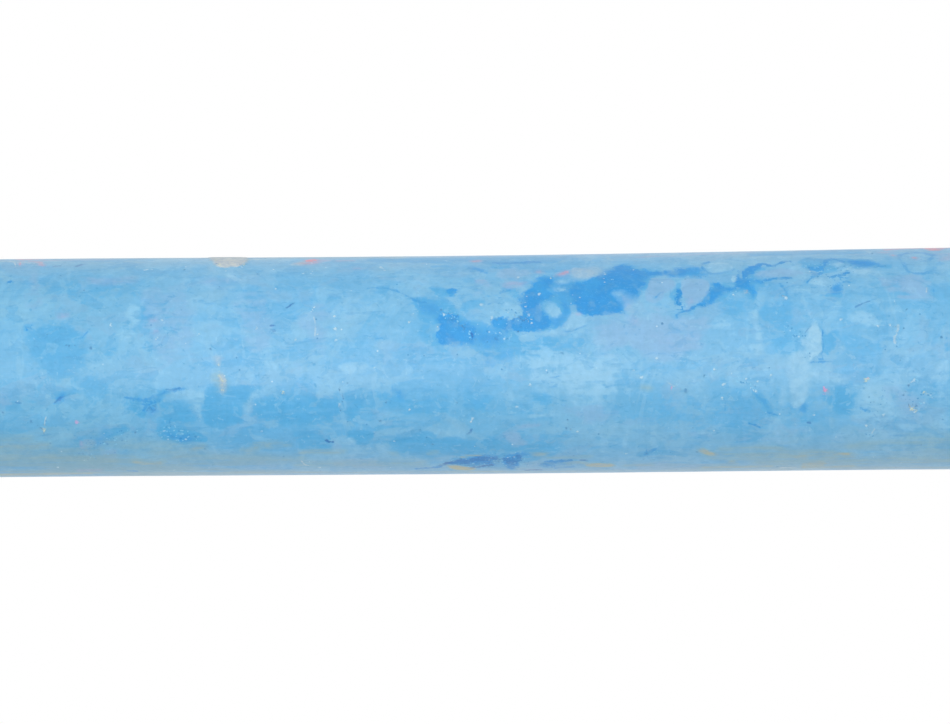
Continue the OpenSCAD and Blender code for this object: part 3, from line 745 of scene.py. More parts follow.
    ("dark", 0.054, 0.05, 0.75, [(49.3, 1.9), (49.12, 1.92)]),
    ("dark", 0.048, 0.05, 0.6, [(49.21, 1.61), (49.05, 1.62)]),
    ("dark", 0.11, 0.07, 0.72, [(40.42, -3.4), (40.31, -3.29), (40.21, -3.13)]),
    ("dark", 0.046, 0.05, 0.6, [(46.06, -1.36), (46.02, -1.55)]),
    ("dark", 0.069, 0.06, 0.9, [(40.14, 1.45), (40.1, 1.29), (40.12, 1.13)]),
    ("dark", 0.075, 0.1, 0.5, [(39.08, 1.23), (38.94, 1.12)]),
    ("dark", 0.064, 0.06, 0.6, [(22.67, 2.46), (22.42, 2.61), (22.07, 2.77)]),
    ("dark", 0.048, 0.05, 0.6, [(25.05, 1.26), (24.86, 1.44), (24.69, 1.61)]),
    ("dark", 0.083, 0.05, 0.7, [(24.91, -2.98), (24.79, -2.97)]),
    ("dark", 0.048, 0.06, 0.22, [(54.21, 1.02), (54.08, 1.39), (53.84, 1.63), (53.57, 1.72), (53.3, 1.77)]),
    ("dark", 0.138, 0.06, 0.6, [(58.14, 5.94), (57.97, 6.15)]),
    ("dark", 0.115, 0.05, 0.5, [(59.15, 5.92), (58.88, 6.01)]),
    ("dark", 0.063, 0.08, 0.6, [(60.92, -1.55), (60.69, -1.58)]),
    ("dark", 0.057, 0.08, 0.6, [(59.06, -1.6), (58.87, -1.37), (58.59, -1.28), (58.37, -1.21)]),
    ("dark", 0.053, 0.08, 0.5, [(58.87, -1.51), (58.69, -1.3)]),
    ("dark", 0.056, 0.1, 0.5, [(54.05, -.98), (53.68, -1.05), (53.32, -.98)]),
    ("dark", 0.049, 0.1, 0.45, [(54.93, -2.09), (54.79, -1.84), (54.51, -1.7)]),
    ("dark", 0.05, 0.1, 0.4, [(54.7, -2.14), (54.52, -1.94)]),
]

# crumbs and pits: along, across, radius
DOTS = {
    "white": [
        (46.4, 2.33, .06), (46.33, 1.75, .08), (46.28, 1.2, .06), (42.98, 2, .06), (44.26, 5.6, .07),
        (44.07, 5.28, .05), (46.76, 5.6, .05), (39.7, 2.87, .05), (42.78, 2.45, .05), (46.17, -1.76, .04),
        (42.98, -2.06, .05), (40.2, -2.73, .06), (40.13, -2.55, .05), (43.73, -3.79, .06), (40.06, -4.18, .04),
        (44.58, -.09, .06), (37.62, 3.33, .07), (37.52, 2.3, .06), (37.95, 4.57, .05), (37.7, 2.76, .06),
        (38.07, -1.99, .06), (37.51, -.91, .06), (35.36, -3.32, .06), (32.78, -.33, .06), (32.44, -.68, .06),
        (33.16, -4.84, .05), (34.12, -6.47, .05), (34.07, 4.72, .05), (34.07, 4.14, .06), (35.2, 3.22, .05),
        (35.6, 2.9, .05), (28.22, 3.24, .07), (28.12, 4.2, .06), (25.83, 3.02, .06), (31.72, .2, .06),
        (29.16, -.35, .06), (28.35, -.54, .05), (27.71, -.79, .06), (28.77, -1.05, .08), (27.28, -1.39, .06),
        (27.49, -1.22, .04), (27.17, -.94, .04), (26.58, -.63, .04), (28.8, -1.66, .05), (26.8, -2.41, .05),
        (31.23, -3.17, .04), (29.16, -3.38, .04), (23.37, 1.82, .07), (21.7, 1.55, .06), (21.13, 1.54, .06),
        (24.7, 4.65, .06), (56.56, 1.97, .06), (54.48, 1.28, .06), (54.21, 2.18, .04), (55.4, 5.82, .05),
        (55.07, 5.46, .06), (54.92, 5.5, .04), (54.71, 5.52, .04), (60.81, -1.54, .06), (58.11, -2.77, .04),
        (52.53, 1.52, .06), (49.94, 1.73, .06), (53.12, 1.08, .05), (47.3, 2.82, .05), (47.43, 2.6, .06),
        (47.16, 1.46, .05), (48.12, 1.22, .04), (47.38, 5.22, .05), (47.81, 5.05, .05), (49.7, -3.15, .05),
        (47.61, -5.31, .05), (47.16, -5.95, .06), (41.11, 2.38, .05), (41.39, 2.41, .04), (41.68, 1.78, .07),
        (22.24, -3.17, .06), (24.59, -2.58, .06), (19.25, -1.79, .06), (21.46, -2.6, .05), (22.34, -5.65, .06),
        (20.56, -6.02, .05), (23.62, -3.83, .06), (20.21, -1.05, .06), (20.07, -.96, .05), (59.1, -5.73, .05),
        (39.21, 2.2, .05), (38.48, 2.44, .05), (37.06, 3.47, .05), (37.39, 1.93, .05), (52.02, 5.85, .05),
        (50.43, 6.7, .05), (50.6, 5.7, .05)],
    "dark": [
        (52.01, .83, .06), (31.48, 1.82, .06), (46.17, -1.09, .07), (46.05, -1.64, .06), (46.13, -2.08, .06),
        (45.79, -.77, .04), (44.07, -1.71, .06), (41.63, -.92, .04), (40.8, -1.76, .05), (44.36, -2.65, .06),
        (42.54, -3.15, .05), (41.98, -4.01, .07), (57.77, 3.89, .06), (57.43, .87, .05), (58.57, 1.02, .04),
        (58.16, 1.03, .04), (59.43, 1.54, .05), (29.58, -.6, .05), (30.45, -1.31, .06), (30.13, -3.18, .05),
        (36.05, .48, .05), (40.57, 1.8, .05), (40.49, 1.7, .05), (41.12, 2.13, .05), (40.92, 2.14, .05),
        (40.76, 2.34, .05), (41.52, 2.64, .05), (41.16, 2.46, .04), (38, 2.2, .06), (37.75, 2.03, .06),
        (38.03, 1.51, .07), (39.42, 1.05, .05), (53.24, 5.44, .05), (49.86, 5, .05), (20.51, 1.4, .07),
        (18.8, .96, .07), (20.7, -.05, .06), (50.88, -6.02, .05), (52.01, -5.57, .06), (52.34, -4.23, .06),
        (60.71, -1.52, .04), (59.53, -2.52, .04), (59.66, -3.22, .04), (59.77, -2.9, .04), (61.48, -2.06, .06),
        (60.22, -2.54, .06), (55.5, -3.17, .04), (20.35, 2.32, .05), (20.32, -2.09, .06), (19.96, -2.17, .06),
        (20.57, -1.65, .05), (20.33, -1.19, .05), (19.71, -4.41, .06), (32.2, -4.86, .06), (30.39, 4.25, .05),
        (29.74, 3.53, .04), (29.92, -4.78, .04), (51.9, 6.92, .04), (51.77, 6.09, .04), (50.72, 6.01, .05),
        (50.19, 7.05, .04), (49.58, 7.08, .05), (26.24, -6.45, .07), (40.01, -5.83, .06), (40.68, -5.18, .06),
        (35.8, -2.66, .05), (35.86, -3.11, .06), (21.79, 6.41, .05), (26.09, 3.26, .05)],
    "yellow": [
        (51.66, .09, .06), (51.6, -.41, .06), (51.46, -.65, .06), (51.53, -1.07, .08), (59.64, -3.04, .1),
        (48.73, -1.16, .09), (22.25, -.92, .08), (22.14, -.84, .06), (20.16, -2.29, .09), (20, -2.46, .06),
        (19.62, -1.52, .06), (36.5, 4.46, .06), (51.8, 6.61, .06), (51.64, 5.93, .05), (50.49, 6.03, .05)],
    "pink": [
        (24.13, -1.34, .09), (24.06, -1.35, .09), (24.09, -1.43, .09), (24.1, -1.38, .09), (58.13, -2.61, .06),
        (31.09, -1.16, .06), (22.18, -.78, .03)],
}

# The sides that those marks don't reach get marks of the same kinds, scattered.
rnd = random.Random(11)


def elsewhere(margin=0.0):
    while True:
        z, a = rnd.uniform(0.8, LEN - 0.8), rnd.uniform(-TURN / 2, TURN / 2)
        if abs(a) > 8.4 + margin or z < 17.4 - margin or z > 62.6 + margin:
            return z, a


def blob(z, a, rz, ra, wild=0.45, n=16):
    p = [rnd.uniform(0, 6.283) for _ in range(4)]
    out = []
    for i in range(n):
        t = 6.2832 * i / n
        k = 1 + wild * (0.5 * math.sin(2 * t + p[0]) + 0.4 * math.sin(3 * t + p[1])
                        + 0.3 * math.sin(5 * t + p[2]) + 0.2 * math.sin(7 * t + p[3]))
        out.append((z + rz * k * math.cos(t), a + ra * k * math.sin(t)))
    return out


def wander(z, a, length, lean, turn_by, n=5):
    out = [(z, a)]
    for _ in range(n - 1):
        lean += rnd.uniform(-turn_by, turn_by)
        z, a = z + length / (n - 1) * math.cos(lean), a + length / (n - 1) * math.sin(lean)
        out.append((z, a))
    return out


for _ in range(64):
    z, a = elsewhere(0.6)
    rz, ra = rnd.uniform(0.5, 2.6), rnd.uniform(0.4, 1.1)
    PATCHES.append(("rich", rnd.uniform(0.25, 0.45), rnd.uniform(0.45, 0.95), blob(z, a, rz, ra)))
for z0, a0, n in ((9.0, 3.0, 4), (30.0, 12.6, 5), (55.0, -11.4, 5), (71.0, 1.5, 4), (12.5, -9.5, 3), (70.5, -14.0, 3)):
    for _ in range(n):
        z, a = z0 + rnd.gauss(0, 1.7), a0 + rnd.gauss(0, 0.8)
        rz, ra = rnd.uniform(0.4, 1.5), rnd.uniform(0.25, 0.7)
        PATCHES.append(("rich", 0.3, 0.85, blob(z, a, rz * 1.45, ra * 1.6)))
        PATCHES.append(("deep", rnd.uniform(0.08, 0.12), rnd.uniform(0.75, 1), blob(z, a, rz, ra, 0.6)))
        if rnd.random() < 0.5:
            PATCHES.append(("pale", 0.08, 0.9, blob(z + 0.3 * rz, a, rz * 0.3, ra * 0.35)))
    for _ in range(2 * n):
        z, a = z0 + rnd.gauss(0, 2.6), a0 + rnd.gauss(0, 1.2)
        STROKES.append(("line", rnd.uniform(0.05, 0.1), 0.06, rnd.uniform(0.6, 0.9),
                        wander(z, a, rnd.uniform(0.5, 1.8), rnd.choice((0, 3.14)) + rnd.gauss(0, 0.4), 0.5)))
    for _ in range(3):
        z, a = z0 + rnd.gauss(0, 1.3), a0 + rnd.gauss(0, 0.6)
        PATCHES.append(("fleck", 0.3, 0.8, blob(z, a, 0.9, 0.6)))
for _ in range(34):
    z, a = elsewhere(0.6)
    PATCHES.append(("lilac", rnd.uniform(0.3, 0.6), rnd.uniform(0.4, 0.8),
                    blob(z, a, rnd.uniform(0.5, 2.4), rnd.uniform(0.4, 1.2))))
for _ in range(44):
    z, a = elsewhere(0.4)
    PATCHES.append(("pale", rnd.choice((0.08, 0.25, 0.35)), rnd.uniform(0.45, 0.8),
                    blob(z, a, rnd.uniform(0.2, 0.9), rnd.uniform(0.3, 1.1), 0.6)))
for _ in range(22):
    z, a = elsewhere(0.5)
    STROKES.append(("ochre", rnd.uniform(0.08, 0.2), 0.2, rnd.uniform(0.45, 0.85),
                    wander(z, a, rnd.uniform(1.5, 6), rnd.gauss(0, 0.05), 0.08)))
for _ in range(15):
    z, a = elsewhere(0.5)
    STROKES.append(("pink", rnd.uniform(0.06, 0.16), rnd.uniform(0.1, 0.2), rnd.uniform(0.45, 0.9),
                    wander(z, a, rnd.uniform(0.6, 2.8), rnd.gauss(0, 0.12), 0.15)))
for z, a in ((7.5, -4.2), (47.0, 13.5), (67.5, 6.5)):
    PATCHES.append(("crust", 0.07, 1, blob(z, a, rnd.uniform(0.5, 0.9), rnd.uniform(0.25, 0.4))))
for _ in range(46):
    z, a = elsewhere(0.2)
    STROKES.append((rnd.choice(("line", "line", "dark")), rnd.uniform(0.04, 0.08), 0.06, rnd.uniform(0.45, 0.85),
                    wander(z, a, rnd.uniform(0.3, 1.2), rnd.choice((0.0, 0.3, -0.5, 1.2)), 0.4)))
for _ in range(16):
    z, a = elsewhere(0.3)
    STROKES.append(("crust", rnd.uniform(0.04, 0.06), 0.05, 0.75,
                    wander(z, a, rnd.uniform(0.25, 0.6), rnd.uniform(-1, 1), 0.3, 3)))
taken = []
for _ in range(170):
    z, a = elsewhere(0.2)
    if all(abs(z - q[0]) + abs(a - q[1]) > 1.1 for q in taken):
        taken.append((z, a))
        kind = rnd.choices(("white", "dark", "yellow", "pink"), (52, 36, 7, 5))[0]
        DOTS[kind].append((z, a, rnd.uniform(0.04, 0.075)))

# the flat ends: (x, y), the struck-off wide end first
ENDS = []
for rim_r in (4.7, 4.2):
    patches, strokes, dots = [], [], {"white": [], "dark": [], "yellow": [], "pink": []}
    for kind, n, lo, hi, soft, amp in (("rich", 9, 0.4, 1.3, 0.35, 0.8), ("lilac", 5, 0.4, 1.2, 0.4, 0.7),
                                       ("pale", 7, 0.2, 0.7, 0.25, 0.7), ("deep", 4, 0.15, 0.5, 0.2, 0.7)):
        for _ in range(n):
            q, t = rim_r * math.sqrt(rnd.random()), rnd.uniform(0, 6.283)
            patches.append((kind, soft, amp, blob(q * math.cos(t), q * math.sin(t),
                                                  rnd.uniform(lo, hi), rnd.uniform(lo, hi) * 0.7)))
    for _ in range(9):
        q, t = rim_r * math.sqrt(rnd.random()), rnd.uniform(0, 6.283)
        dots["white" if rnd.random() < 0.6 else "dark"].append((q * math.cos(t), q * math.sin(t), 0.09))
    ENDS.append((patches, strokes, dots))

# ---------------------------------------------------------------- marks to point values
zone = np.zeros((NV, 3))    # rubbed-in blue, greyish lilac, dark flecks
tint = np.zeros((NV, 3))    # ochre, pink, soft pale smears
sharp = {k: np.tile([-0.5, 0.0, 0.1], (NV, 1)) for k in ("deep", "pale", "crust")}   # signed distance, strength, softness
thin = {k: np.tile([0.5, 0.5, 0.0], (NV, 1)) for k in ("line", "dark", "scratch")}   # way to the line, half width
thin_gap = {k: np.full(NV, 9.0) for k in thin}
amp3 = np.zeros((NV, 3))
dot = np.tile([0.5, 0.5, 0.0], (NV, 1))
dot_gap = np.full(NV, 9.0)
dot_col = np.full((NV, 3), 0.8)
DOT_COLOUR = {"white": (0.52, 0.72, 0.84), "dark": (0.07, 0.25, 0.50), "yellow": (0.60, 0.70, 0.55), "pink": (0.76, 0.32, 0.62)}
SOFT_LAYER = {"rich": (zone, 0), "lilac": (zone, 1), "fleck": (zone, 2), "ochre": (tint, 0), "pink": (tint, 1), "pale": (tint, 2)}


def step(lo, hi, v):
    t = np.clip((v - lo) / (hi - lo), 0, 1)
    return t * t * (3 - 2 * t)


def to_path(u, v, pts, closed):
    """Vector to the nearest point of a path."""
    best, bu, bv = np.full(len(u), 1e9), np.zeros(len(u)), np.zeros(len(u))
    last = len(pts) if closed else len(pts) - 1
    for i in range(last):
        (u0, v0), (u1, v1) = pts[i], pts[(i + 1) % len(pts)]
        eu, ev = u1 - u0, v1 - v0
        t = np.clip(((u - u0) * eu + (v - v0) * ev) / (eu * eu + ev * ev + 1e-12), 0, 1)
        du, dv = u0 + t * eu - u, v0 + t * ev - v
        d = du * du + dv * dv
        m = d < best
        best[m], bu[m], bv[m] = d[m], du[m], dv[m]
    return bu, bv, np.sqrt(best)


def inside(u, v, pts):
    odd = np.zeros(len(u), bool)
    for i in range(len(pts)):
        (u0, v0), (u1, v1) = pts[i], pts[(i + 1) % len(pts)]
        if v0 != v1:
            odd ^= ((v0 > v) != (v1 > v)) & (u < (u1 - u0) * (v - v0) / (v1 - v0) + u0)
    return odd


def rounded(pts, closed):
    """Cut the corners of a path once."""
    out = []
    n = len(pts)
    for i in range(n if closed else n - 1):
        (u0, v0), (u1, v1) = pts[i], pts[(i + 1) % n]
        if closed or i > 0:
            out.append((u0 * 0.8 + u1 * 0.2, v0 * 0.8 + v1 * 0.2))
        else:
            out.append((u0, v0))
        if closed or i < n - 2:
            out.append((u0 * 0.2 + u1 * 0.8, v0 * 0.2 + v1 * 0.8))
        else:
            out.append((u1, v1))
    return out


def paint(idx, u, v, uw, vw, us, vs, wrap, patches, strokes, dots):
    """Lay marks over the points idx. (u, v) are their flat places, (uw, vw) the same slightly
    wavered for firm edges, and (us, vs) more wavered for smears."""
    def near(pts, reach, pu, pv):
        eu, ev = [p[0] for p in pts], [p[1] for p in pts]
        mid = (min(ev) + max(ev)) / 2
        local = (pv - mid + wrap / 2) % wrap - wrap / 2 + mid if wrap else pv
        m = np.nonzero((pu > min(eu) - reach) & (pu < max(eu) + reach)
                       & (local > min(ev) - reach) & (local < max(ev) + reach))[0]
        return m, pu[m], local[m]

    for kind, soft, amp, pts in patches:
        pts = rounded(pts, True)
        firm = kind in sharp and not (kind == "pale" and soft >= 0.2)
        m, pu, pv = near(pts, max(soft, 0.5) + 0.05, *((uw, vw) if firm or soft < 0.18 else (us, vs)))
        if not len(m):
            continue
        d = to_path(pu, pv, pts, True)[2]
        sd = np.where(inside(pu, pv, pts), d, -d)
        t = idx[m]
        if firm:
            sd = np.clip(sd, -0.5, 0.5)
            f = sharp[kind]
            better = sd > f[t, 0]
            f[t[better]] = np.stack([sd[better], np.full(better.sum(), amp), np.full(better.sum(), soft)], -1)
        else:
            layer, k = SOFT_LAYER[kind]
            layer[t, k] = np.maximum(layer[t, k], amp * step(-soft, soft, sd))
    for kind, width, soft, amp, pts in strokes:
        m, pu, pv = near(pts, 0.6, uw, vw)
        if not len(m):
            continue
        pts = rounded(pts, False) if len(pts) > 2 else pts
        du, dv, d = to_path(pu, pv, pts, False)
        t, half = idx[m], width / 2
        name = {"deep": "line", "line": "line", "dark": "dark", "crust": "scratch"}.get(kind)
        if kind == "pale" and soft <= 0.12:
            name = "scratch"
        if name:
            gap = d - half
            better = gap < thin_gap[name][t]
            tb = t[better]
            thin_gap[name][tb] = gap[better]
            reach = np.where(FINE[tb], 0.24, 0.5)
            thin[name][tb] = np.stack([du[better], dv[better], np.where(gap[better] < reach, half, 0)], -1)
            amp3[tb, ("line", "dark", "scratch").index(name)] = amp
        else:
            layer, k = SOFT_LAYER[kind]
            layer[t, k] = np.maximum(layer[t, k], amp * step(-soft, 0.4 * soft, half - d))
    for kind, places in dots.items():
        for pu0, pv0, r in places:
            m, pu, pv = near([(pu0, pv0)], 0.6, u, v)
            if not len(m):
                continue
            du, dv = pu0 - pu, pv0 - pv
            gap = np.hypot(du, dv) - r
            t = idx[m]
            better = gap < dot_gap[t]
            tb = t[better]
            dot_gap[tb] = gap[better]
            reach = np.where(FINE[tb], 0.155, 0.4)
            dot[tb] = np.stack([du[better], dv[better], np.where(gap[better] < reach, 0.76 * r, 0)], -1)
            dot_col[tb] = DOT_COLOUR[kind]


# the rims count as the side's edge strips
along = np.append(np.repeat(ring_z, NC), [0, LEN])
rim_lo = (PART == 0) & (along > 0)
rim_hi = (PART == 2) & (along < LEN - 1e-6)
ring_of = np.append(np.repeat(ring_s, NC), [0, 0])
along = np.where(rim_lo, WIDE_RIM - (base_r - WIDE_RIM + WIDE_RIM * math.pi / 2 - ring_of), along)
along = np.where(rim_hi, LEN - NARROW_RIM + (top_r - NARROW_RIM + NARROW_RIM * math.pi / 2 - ring_of), along)
side_like = (PART == 1) | rim_lo | rim_hi
waver, sway = np.empty((NV, 3)), np.empty((NV, 3))
for i in range(NV):
    p = Vector((X[i], Y[i], Z[i]))
    fine = mnoise.noise_vector(p / 0.45 + Vector((9, 4, 2)))
    waver[i] = mnoise.noise_vector(p / 1.3) * 0.075 + fine * 0.05
    sway[i] = mnoise.noise_vector(p / 2.1 + Vector((3, 8, 5))) * 0.5 + mnoise.noise_vector(p / 0.8 + Vector((1, 6, 7))) * 0.32 + fine * 0.14
idx = np.nonzero(side_like)[0]
paint(idx, along[idx], ACROSS[idx], along[idx] + waver[idx, 0], ACROSS[idx] + waver[idx, 1],
      along[idx] + sway[idx, 0], ACROSS[idx] + sway[idx, 1], TURN, PATCHES, STROKES, DOTS)
for part, (patches, strokes, dots) in zip((0, 2), ENDS):
    idx = np.nonzero((PART == part) & ~side_like)[0]
    paint(idx, X[idx], Y[idx], X[idx] + 2 * waver[idx, 0], Y[idx] + 2 * waver[idx, 1],
          X[idx] + sway[idx, 0], Y[idx] + sway[idx, 1], 0, patches, strokes, dots)

# a greyish beige film on the side that lay down, partly beige dirt and partly painted shade that greys and darkens the
# side turned away from the key lights, and wear round both rims
film_and_shade = step(-3.35 + 1.5 * step(51, 58, Z) + 0.6 * step(30, 22, Z), -4.9, X) * side_like
film_and_shade = film_and_shade * (0.40 + 0.55 * step(46, 52.5, Z) + 0.42 * step(34, 28, Z))
# the stick dulls towards its narrow end, and the film is browner there
cast = np.stack([step(51.0, 58.5, Z), 0.85 * step(46, 53, Z) + 0.3 * step(32, 27, Z), np.zeros(NV)], -1)
wear = np.maximum(step(0.9, 0.0, along), step(LEN - 1.3, LEN - 0.1, along)) * side_like
more = np.stack([film_and_shade, wear, np.where(side_like, 0.0, 1.0)], -1)

# ---------------------------------------------------------------- relief
lump = field(9.0, 1, 1, 1.6)
ripple = field(1.8, 2, 2, 1.8)
worn = field(2.6, 3, 2, 0.7)
f_deep = step(-0.12, 0.12, sharp["deep"][:, 0]) * sharp["deep"][:, 1]
f_pale = step(-0.08, 0.08, sharp["pale"][:, 0]) * sharp["pale"][:, 1]
f_crust = step(-0.1, 0.1, sharp["crust"][:, 0]) * sharp["crust"][:, 1]
relief = (0.006 * lump + 0.0035 * ripple - 0.010 * f_deep + 0.007 * f_pale + 0.03 * f_crust
          - 0.02 * wear * np.clip(0.6 + worn, 0, 1) + 0.010 * more[:, 2] * ripple)
relief = np.minimum(relief, 0.036 * step(1.0, 16.0, Z) - 0.009)

nx, ny, nz = np.sin(np.append(pp, [0, 0])), -np.cos(np.append(pp, [0, 0])), np.zeros(NV)
on_side = PART == 1
cap = ~on_side
nx[cap] = nx[cap] * 0.3
ny[cap] = ny[cap] * 0.3
nz[PART == 0] = -0.7
nz[PART == 2] = 0.7
move = np.clip(relief, -0.06, 0.03)
X, Y, Z = X + nx * move, Y + ny * move, Z + nz * move
# hand-moulded chalk is not dead straight: a wave of a few hundredths of a millimetre
X = X - 0.033 * np.cos(2 * math.pi * (Z - 40.0) / 46.0) * step(8, 18, Z) * step(72, 62, Z)
Z = np.clip(Z, 0.0, LEN)

# ---------------------------------------------------------------- the mesh
first = np.arange(NR - 1)[:, None] * NC
col = np.arange(NC)[None, :]
nxt = (col + 1) % NC
quads = np.stack([first + col, first + nxt, first + NC + nxt, first + NC + col], -1).reshape(-1, 4)
c0, c1 = NR * NC, NR * NC + 1
fan0 = np.stack([np.full(NC, c0), nxt[0], col[0]], -1)
fan1 = np.stack([np.full(NC, c1), (NR - 1) * NC + col[0], (NR - 1) * NC + nxt[0]], -1)

me = bpy.data.meshes.new("chalk_skin")
faces = [tuple(q) for q in quads.tolist()] + [tuple(t) for t in fan0.tolist()] + [tuple(t) for t in fan1.tolist()]
me.from_pydata((np.stack([X, Y, Z], -1) * MM).tolist(), [], faces)
me.polygons.foreach_set("use_smooth", [True] * len(faces))

# unwrap: the side as one sheet with its seam at the back, each end as a disc
shift = int(np.argmin(np.abs(PHI - math.pi)))
seam_phi = PHI[shift]
uv = me.uv_layers.new(name="OFBake")
flat = np.zeros((len(me.loops), 2))
ends = np.concatenate([PHI, [PHI[0] + 2 * math.pi]])
at = 0
for i in range(NR - 1):
    part = 1 if n_base <= i < n_side - 1 else (0 if i < n_base else 2)
    a, b = np.array(ends[:-1]), np.array(ends[1:])
    if part == 1:
        a = np.where(np.arange(NC) < shift, a + 2 * math.pi, a)
        b = np.where(np.arange(NC) < shift, b + 2 * math.pi, b)
        u0, u1 = 0.006 + 0.786 * (a - seam_phi) / (2 * math.pi), 0.006 + 0.786 * (b - seam_phi) / (2 * math.pi)
        v0, v1 = (0.006 + 0.988 * ring_z[i + k] / LEN for k in (0, 1))
        block = np.stack([np.stack([u0, np.full(NC, v0)], -1), np.stack([u1, np.full(NC, v0)], -1),
                          np.stack([u1, np.full(NC, v1)], -1), np.stack([u0, np.full(NC, v1)], -1)], 1)
    else:
        cy = 0.13 if part == 0 else 0.36
        s0, s1 = ring_s[i], ring_s[i + 1]
        if part == 0 and i + 1 >= n_base:
            s1 = base_r - WIDE_RIM + WIDE_RIM * math.pi / 2
        if part == 2 and i < n_side:
            s0 = top_r - NARROW_RIM + NARROW_RIM * math.pi / 2
        k = 0.0172
        block = np.stack([np.stack([0.898 + k * s * np.sin(q), cy + k * s * np.cos(q)], -1)
                          for s, q in ((s0, a), (s0, b), (s1, b), (s1, a))], 1)
    flat[at:at + 4 * NC] = block.reshape(-1, 2)
    at += 4 * NC
for cy, s, order in ((0.13, ring_s[0], (1, 0)), (0.36, ring_s[-1], (0, 1))):
    q = np.stack([ends[:-1], ends[1:]], -1)[:, list(order)]
    tri = np.zeros((NC, 3, 2))
    tri[:, 0] = (0.898, cy)
    for j in (0, 1):
        tri[:, j + 1, 0] = 0.898 + 0.0172 * s * np.sin(q[:, j])
        tri[:, j + 1, 1] = cy + 0.0172 * s * np.cos(q[:, j])
    flat[at:at + 3 * NC] = tri.reshape(-1, 2)
    at += 3 * NC
uv.data.foreach_set("uv", flat.ravel())

stick = bpy.data.objects.new("chalk_stick_skin", me)
bpy.context.scene.collection.objects.link(stick)

# ---------------------------------------------------------------- point values for the material
for name, values in (("m_zone", zone), ("m_tint", tint), ("m_more", more), ("m_deep", sharp["deep"]),
                     ("m_pale", sharp["pale"]), ("m_crust", sharp["crust"]), ("m_line", thin["line"]),
                     ("m_dark", thin["dark"]), ("m_scratch", thin["scratch"]), ("m_amp", amp3),
                     ("m_dot", dot), ("m_dot_colour", dot_col), ("m_cast", cast)):
    att = me.attributes.new(name, "FLOAT_VECTOR", "POINT")
    att.data.foreach_set("vector", np.ascontiguousarray(values, dtype=np.float32).ravel())

# ---------------------------------------------------------------- material
mat = bpy.data.materials.new("blue_chalk")
mat.use_nodes = True
nt = mat.node_tree
bsdf = nt.nodes["Principled BSDF"]


def put(socket, value):
    if isinstance(value, bpy.types.NodeSocket):
        nt.links.new(value, socket)
    else:
        socket.default_value = value


def calc(op, *values, clamp=False):
    n = nt.nodes.new("ShaderNodeMath")
    n.operation, n.use_clamp = op, clamp
    for i, v in enumerate(values):
        put(n.inputs[i], v)
    return n.outputs[0]


def vec(op, *values):
    n = nt.nodes.new("ShaderNodeVectorMath")
    n.operation = op
    for i, v in enumerate(values):
        put(n.inputs[i], v)
    return n.outputs["Value"] if op == "LENGTH" else n.outputs["Vector"]


def span(v, a, b, c=0.0, d=1.0, smooth=True):
    n = nt.nodes.new("ShaderNodeMapRange")
    if smooth:
        n.interpolation_type = "SMOOTHSTEP"
    for name, value in (("Value", v), ("From Min", a), ("From Max", b), ("To Min", c), ("To Max", d)):
        put(n.inputs[name], value)
    return n.outputs["Result"]


def blend(f, a, b, mode="MIX"):
    n = nt.nodes.new("ShaderNodeMix")
    n.data_type, n.blend_type = "RGBA", mode
    put(n.inputs[0], f)
    put(n.inputs[6], a)
    put(n.inputs[7], b)
    return n.outputs[2]


def three(name):
    a = nt.nodes.new("ShaderNodeAttribute")
    a.attribute_name = name
    s = nt.nodes.new("ShaderNodeSeparateXYZ")
    nt.links.new(a.outputs["Vector"], s.inputs[0])
    return s.outputs[0], s.outputs[1], s.outputs[2]


where = nt.nodes.new("ShaderNodeTexCoord")
pos = vec("MULTIPLY", where.outputs["Object"], (1000.0, 1000.0, 1000.0))


def noise(per_mm, seed, detail=2.0, rough=0.5, distort=0.0):
    """per_mm: cycles to a millimetre, as one number or for (x, y, z)."""
    k = per_mm if isinstance(per_mm, tuple) else (per_mm,) * 3
    n = nt.nodes.new("ShaderNodeTexNoise")
    put(n.inputs["Vector"], vec("MULTIPLY_ADD", pos, k, (seed * 7.13, seed * -3.71, seed * 5.37)))
    n.inputs["Scale"].default_value = 1.0
    n.inputs["Detail"].default_value = detail
    n.inputs["Roughness"].default_value = rough
    n.inputs["Distortion"].default_value = distort
    return n.outputs[0]


def crumbs(per_mm, seed):
    """Distance in millimetres to scattered points, and a random value for each."""
    n = nt.nodes.new("ShaderNodeTexVoronoi")
    put(n.inputs["Vector"], vec("MULTIPLY_ADD", pos, (per_mm,) * 3, (seed * 3.1, seed * 5.9, seed * -4.3)))
    n.inputs["Scale"].default_value = 1.0
    s = nt.nodes.new("ShaderNodeSeparateColor")
    nt.links.new(n.outputs["Color"], s.inputs[0])
    return calc("DIVIDE", n.outputs["Distance"], per_mm), s.outputs[0]


def lin(v):
    v /= 255.0
    return v / 12.92 if v <= 0.04045 else ((v + 0.055) / 1.055) ** 2.4


def look(r, g, b):
    """Surface colour that comes out as this screen colour under the studio lights."""
    return tuple(max(0.012, (lin(v) - 0.045) / 1.05) for v in (r, g, b)) + (1.0,)


z_rich, z_lilac, z_fleck = three("m_zone")
t_ochre, t_pink, t_pale = three("m_tint")
e_film_and_shade, e_wear, e_end = three("m_more")
c_dull, c_warm, _ = three("m_cast")
a_line, a_dark, a_scratch = three("m_amp")

n_broad = noise((0.13, 0.13, 0.09), 1, 2)
n_hue = noise((0.3, 0.3, 0.16), 2, 3, 0.55)
n_mid = noise((0.75, 0.75, 0.6), 3, 4, 0.6, 0.7)
n_small = noise((2.3, 2.3, 1.8), 4, 4, 0.62, 0.6)
n_edge = noise((4.5, 4.5, 4.5), 5, 3, 0.6)
n_streak = noise((2.6, 2.6, 0.28), 6, 3, 0.6)
n_streak2 = noise((6.0, 6.0, 0.7), 7, 2, 0.6)
n_brush = noise((0.4, 0.4, 3.4), 8, 3, 0.6)
n_grain = noise((11.0, 11.0, 9.0), 9, 2, 0.7)
n_feather = noise((0.9, 0.9, 0.6), 10, 2, 0.5)

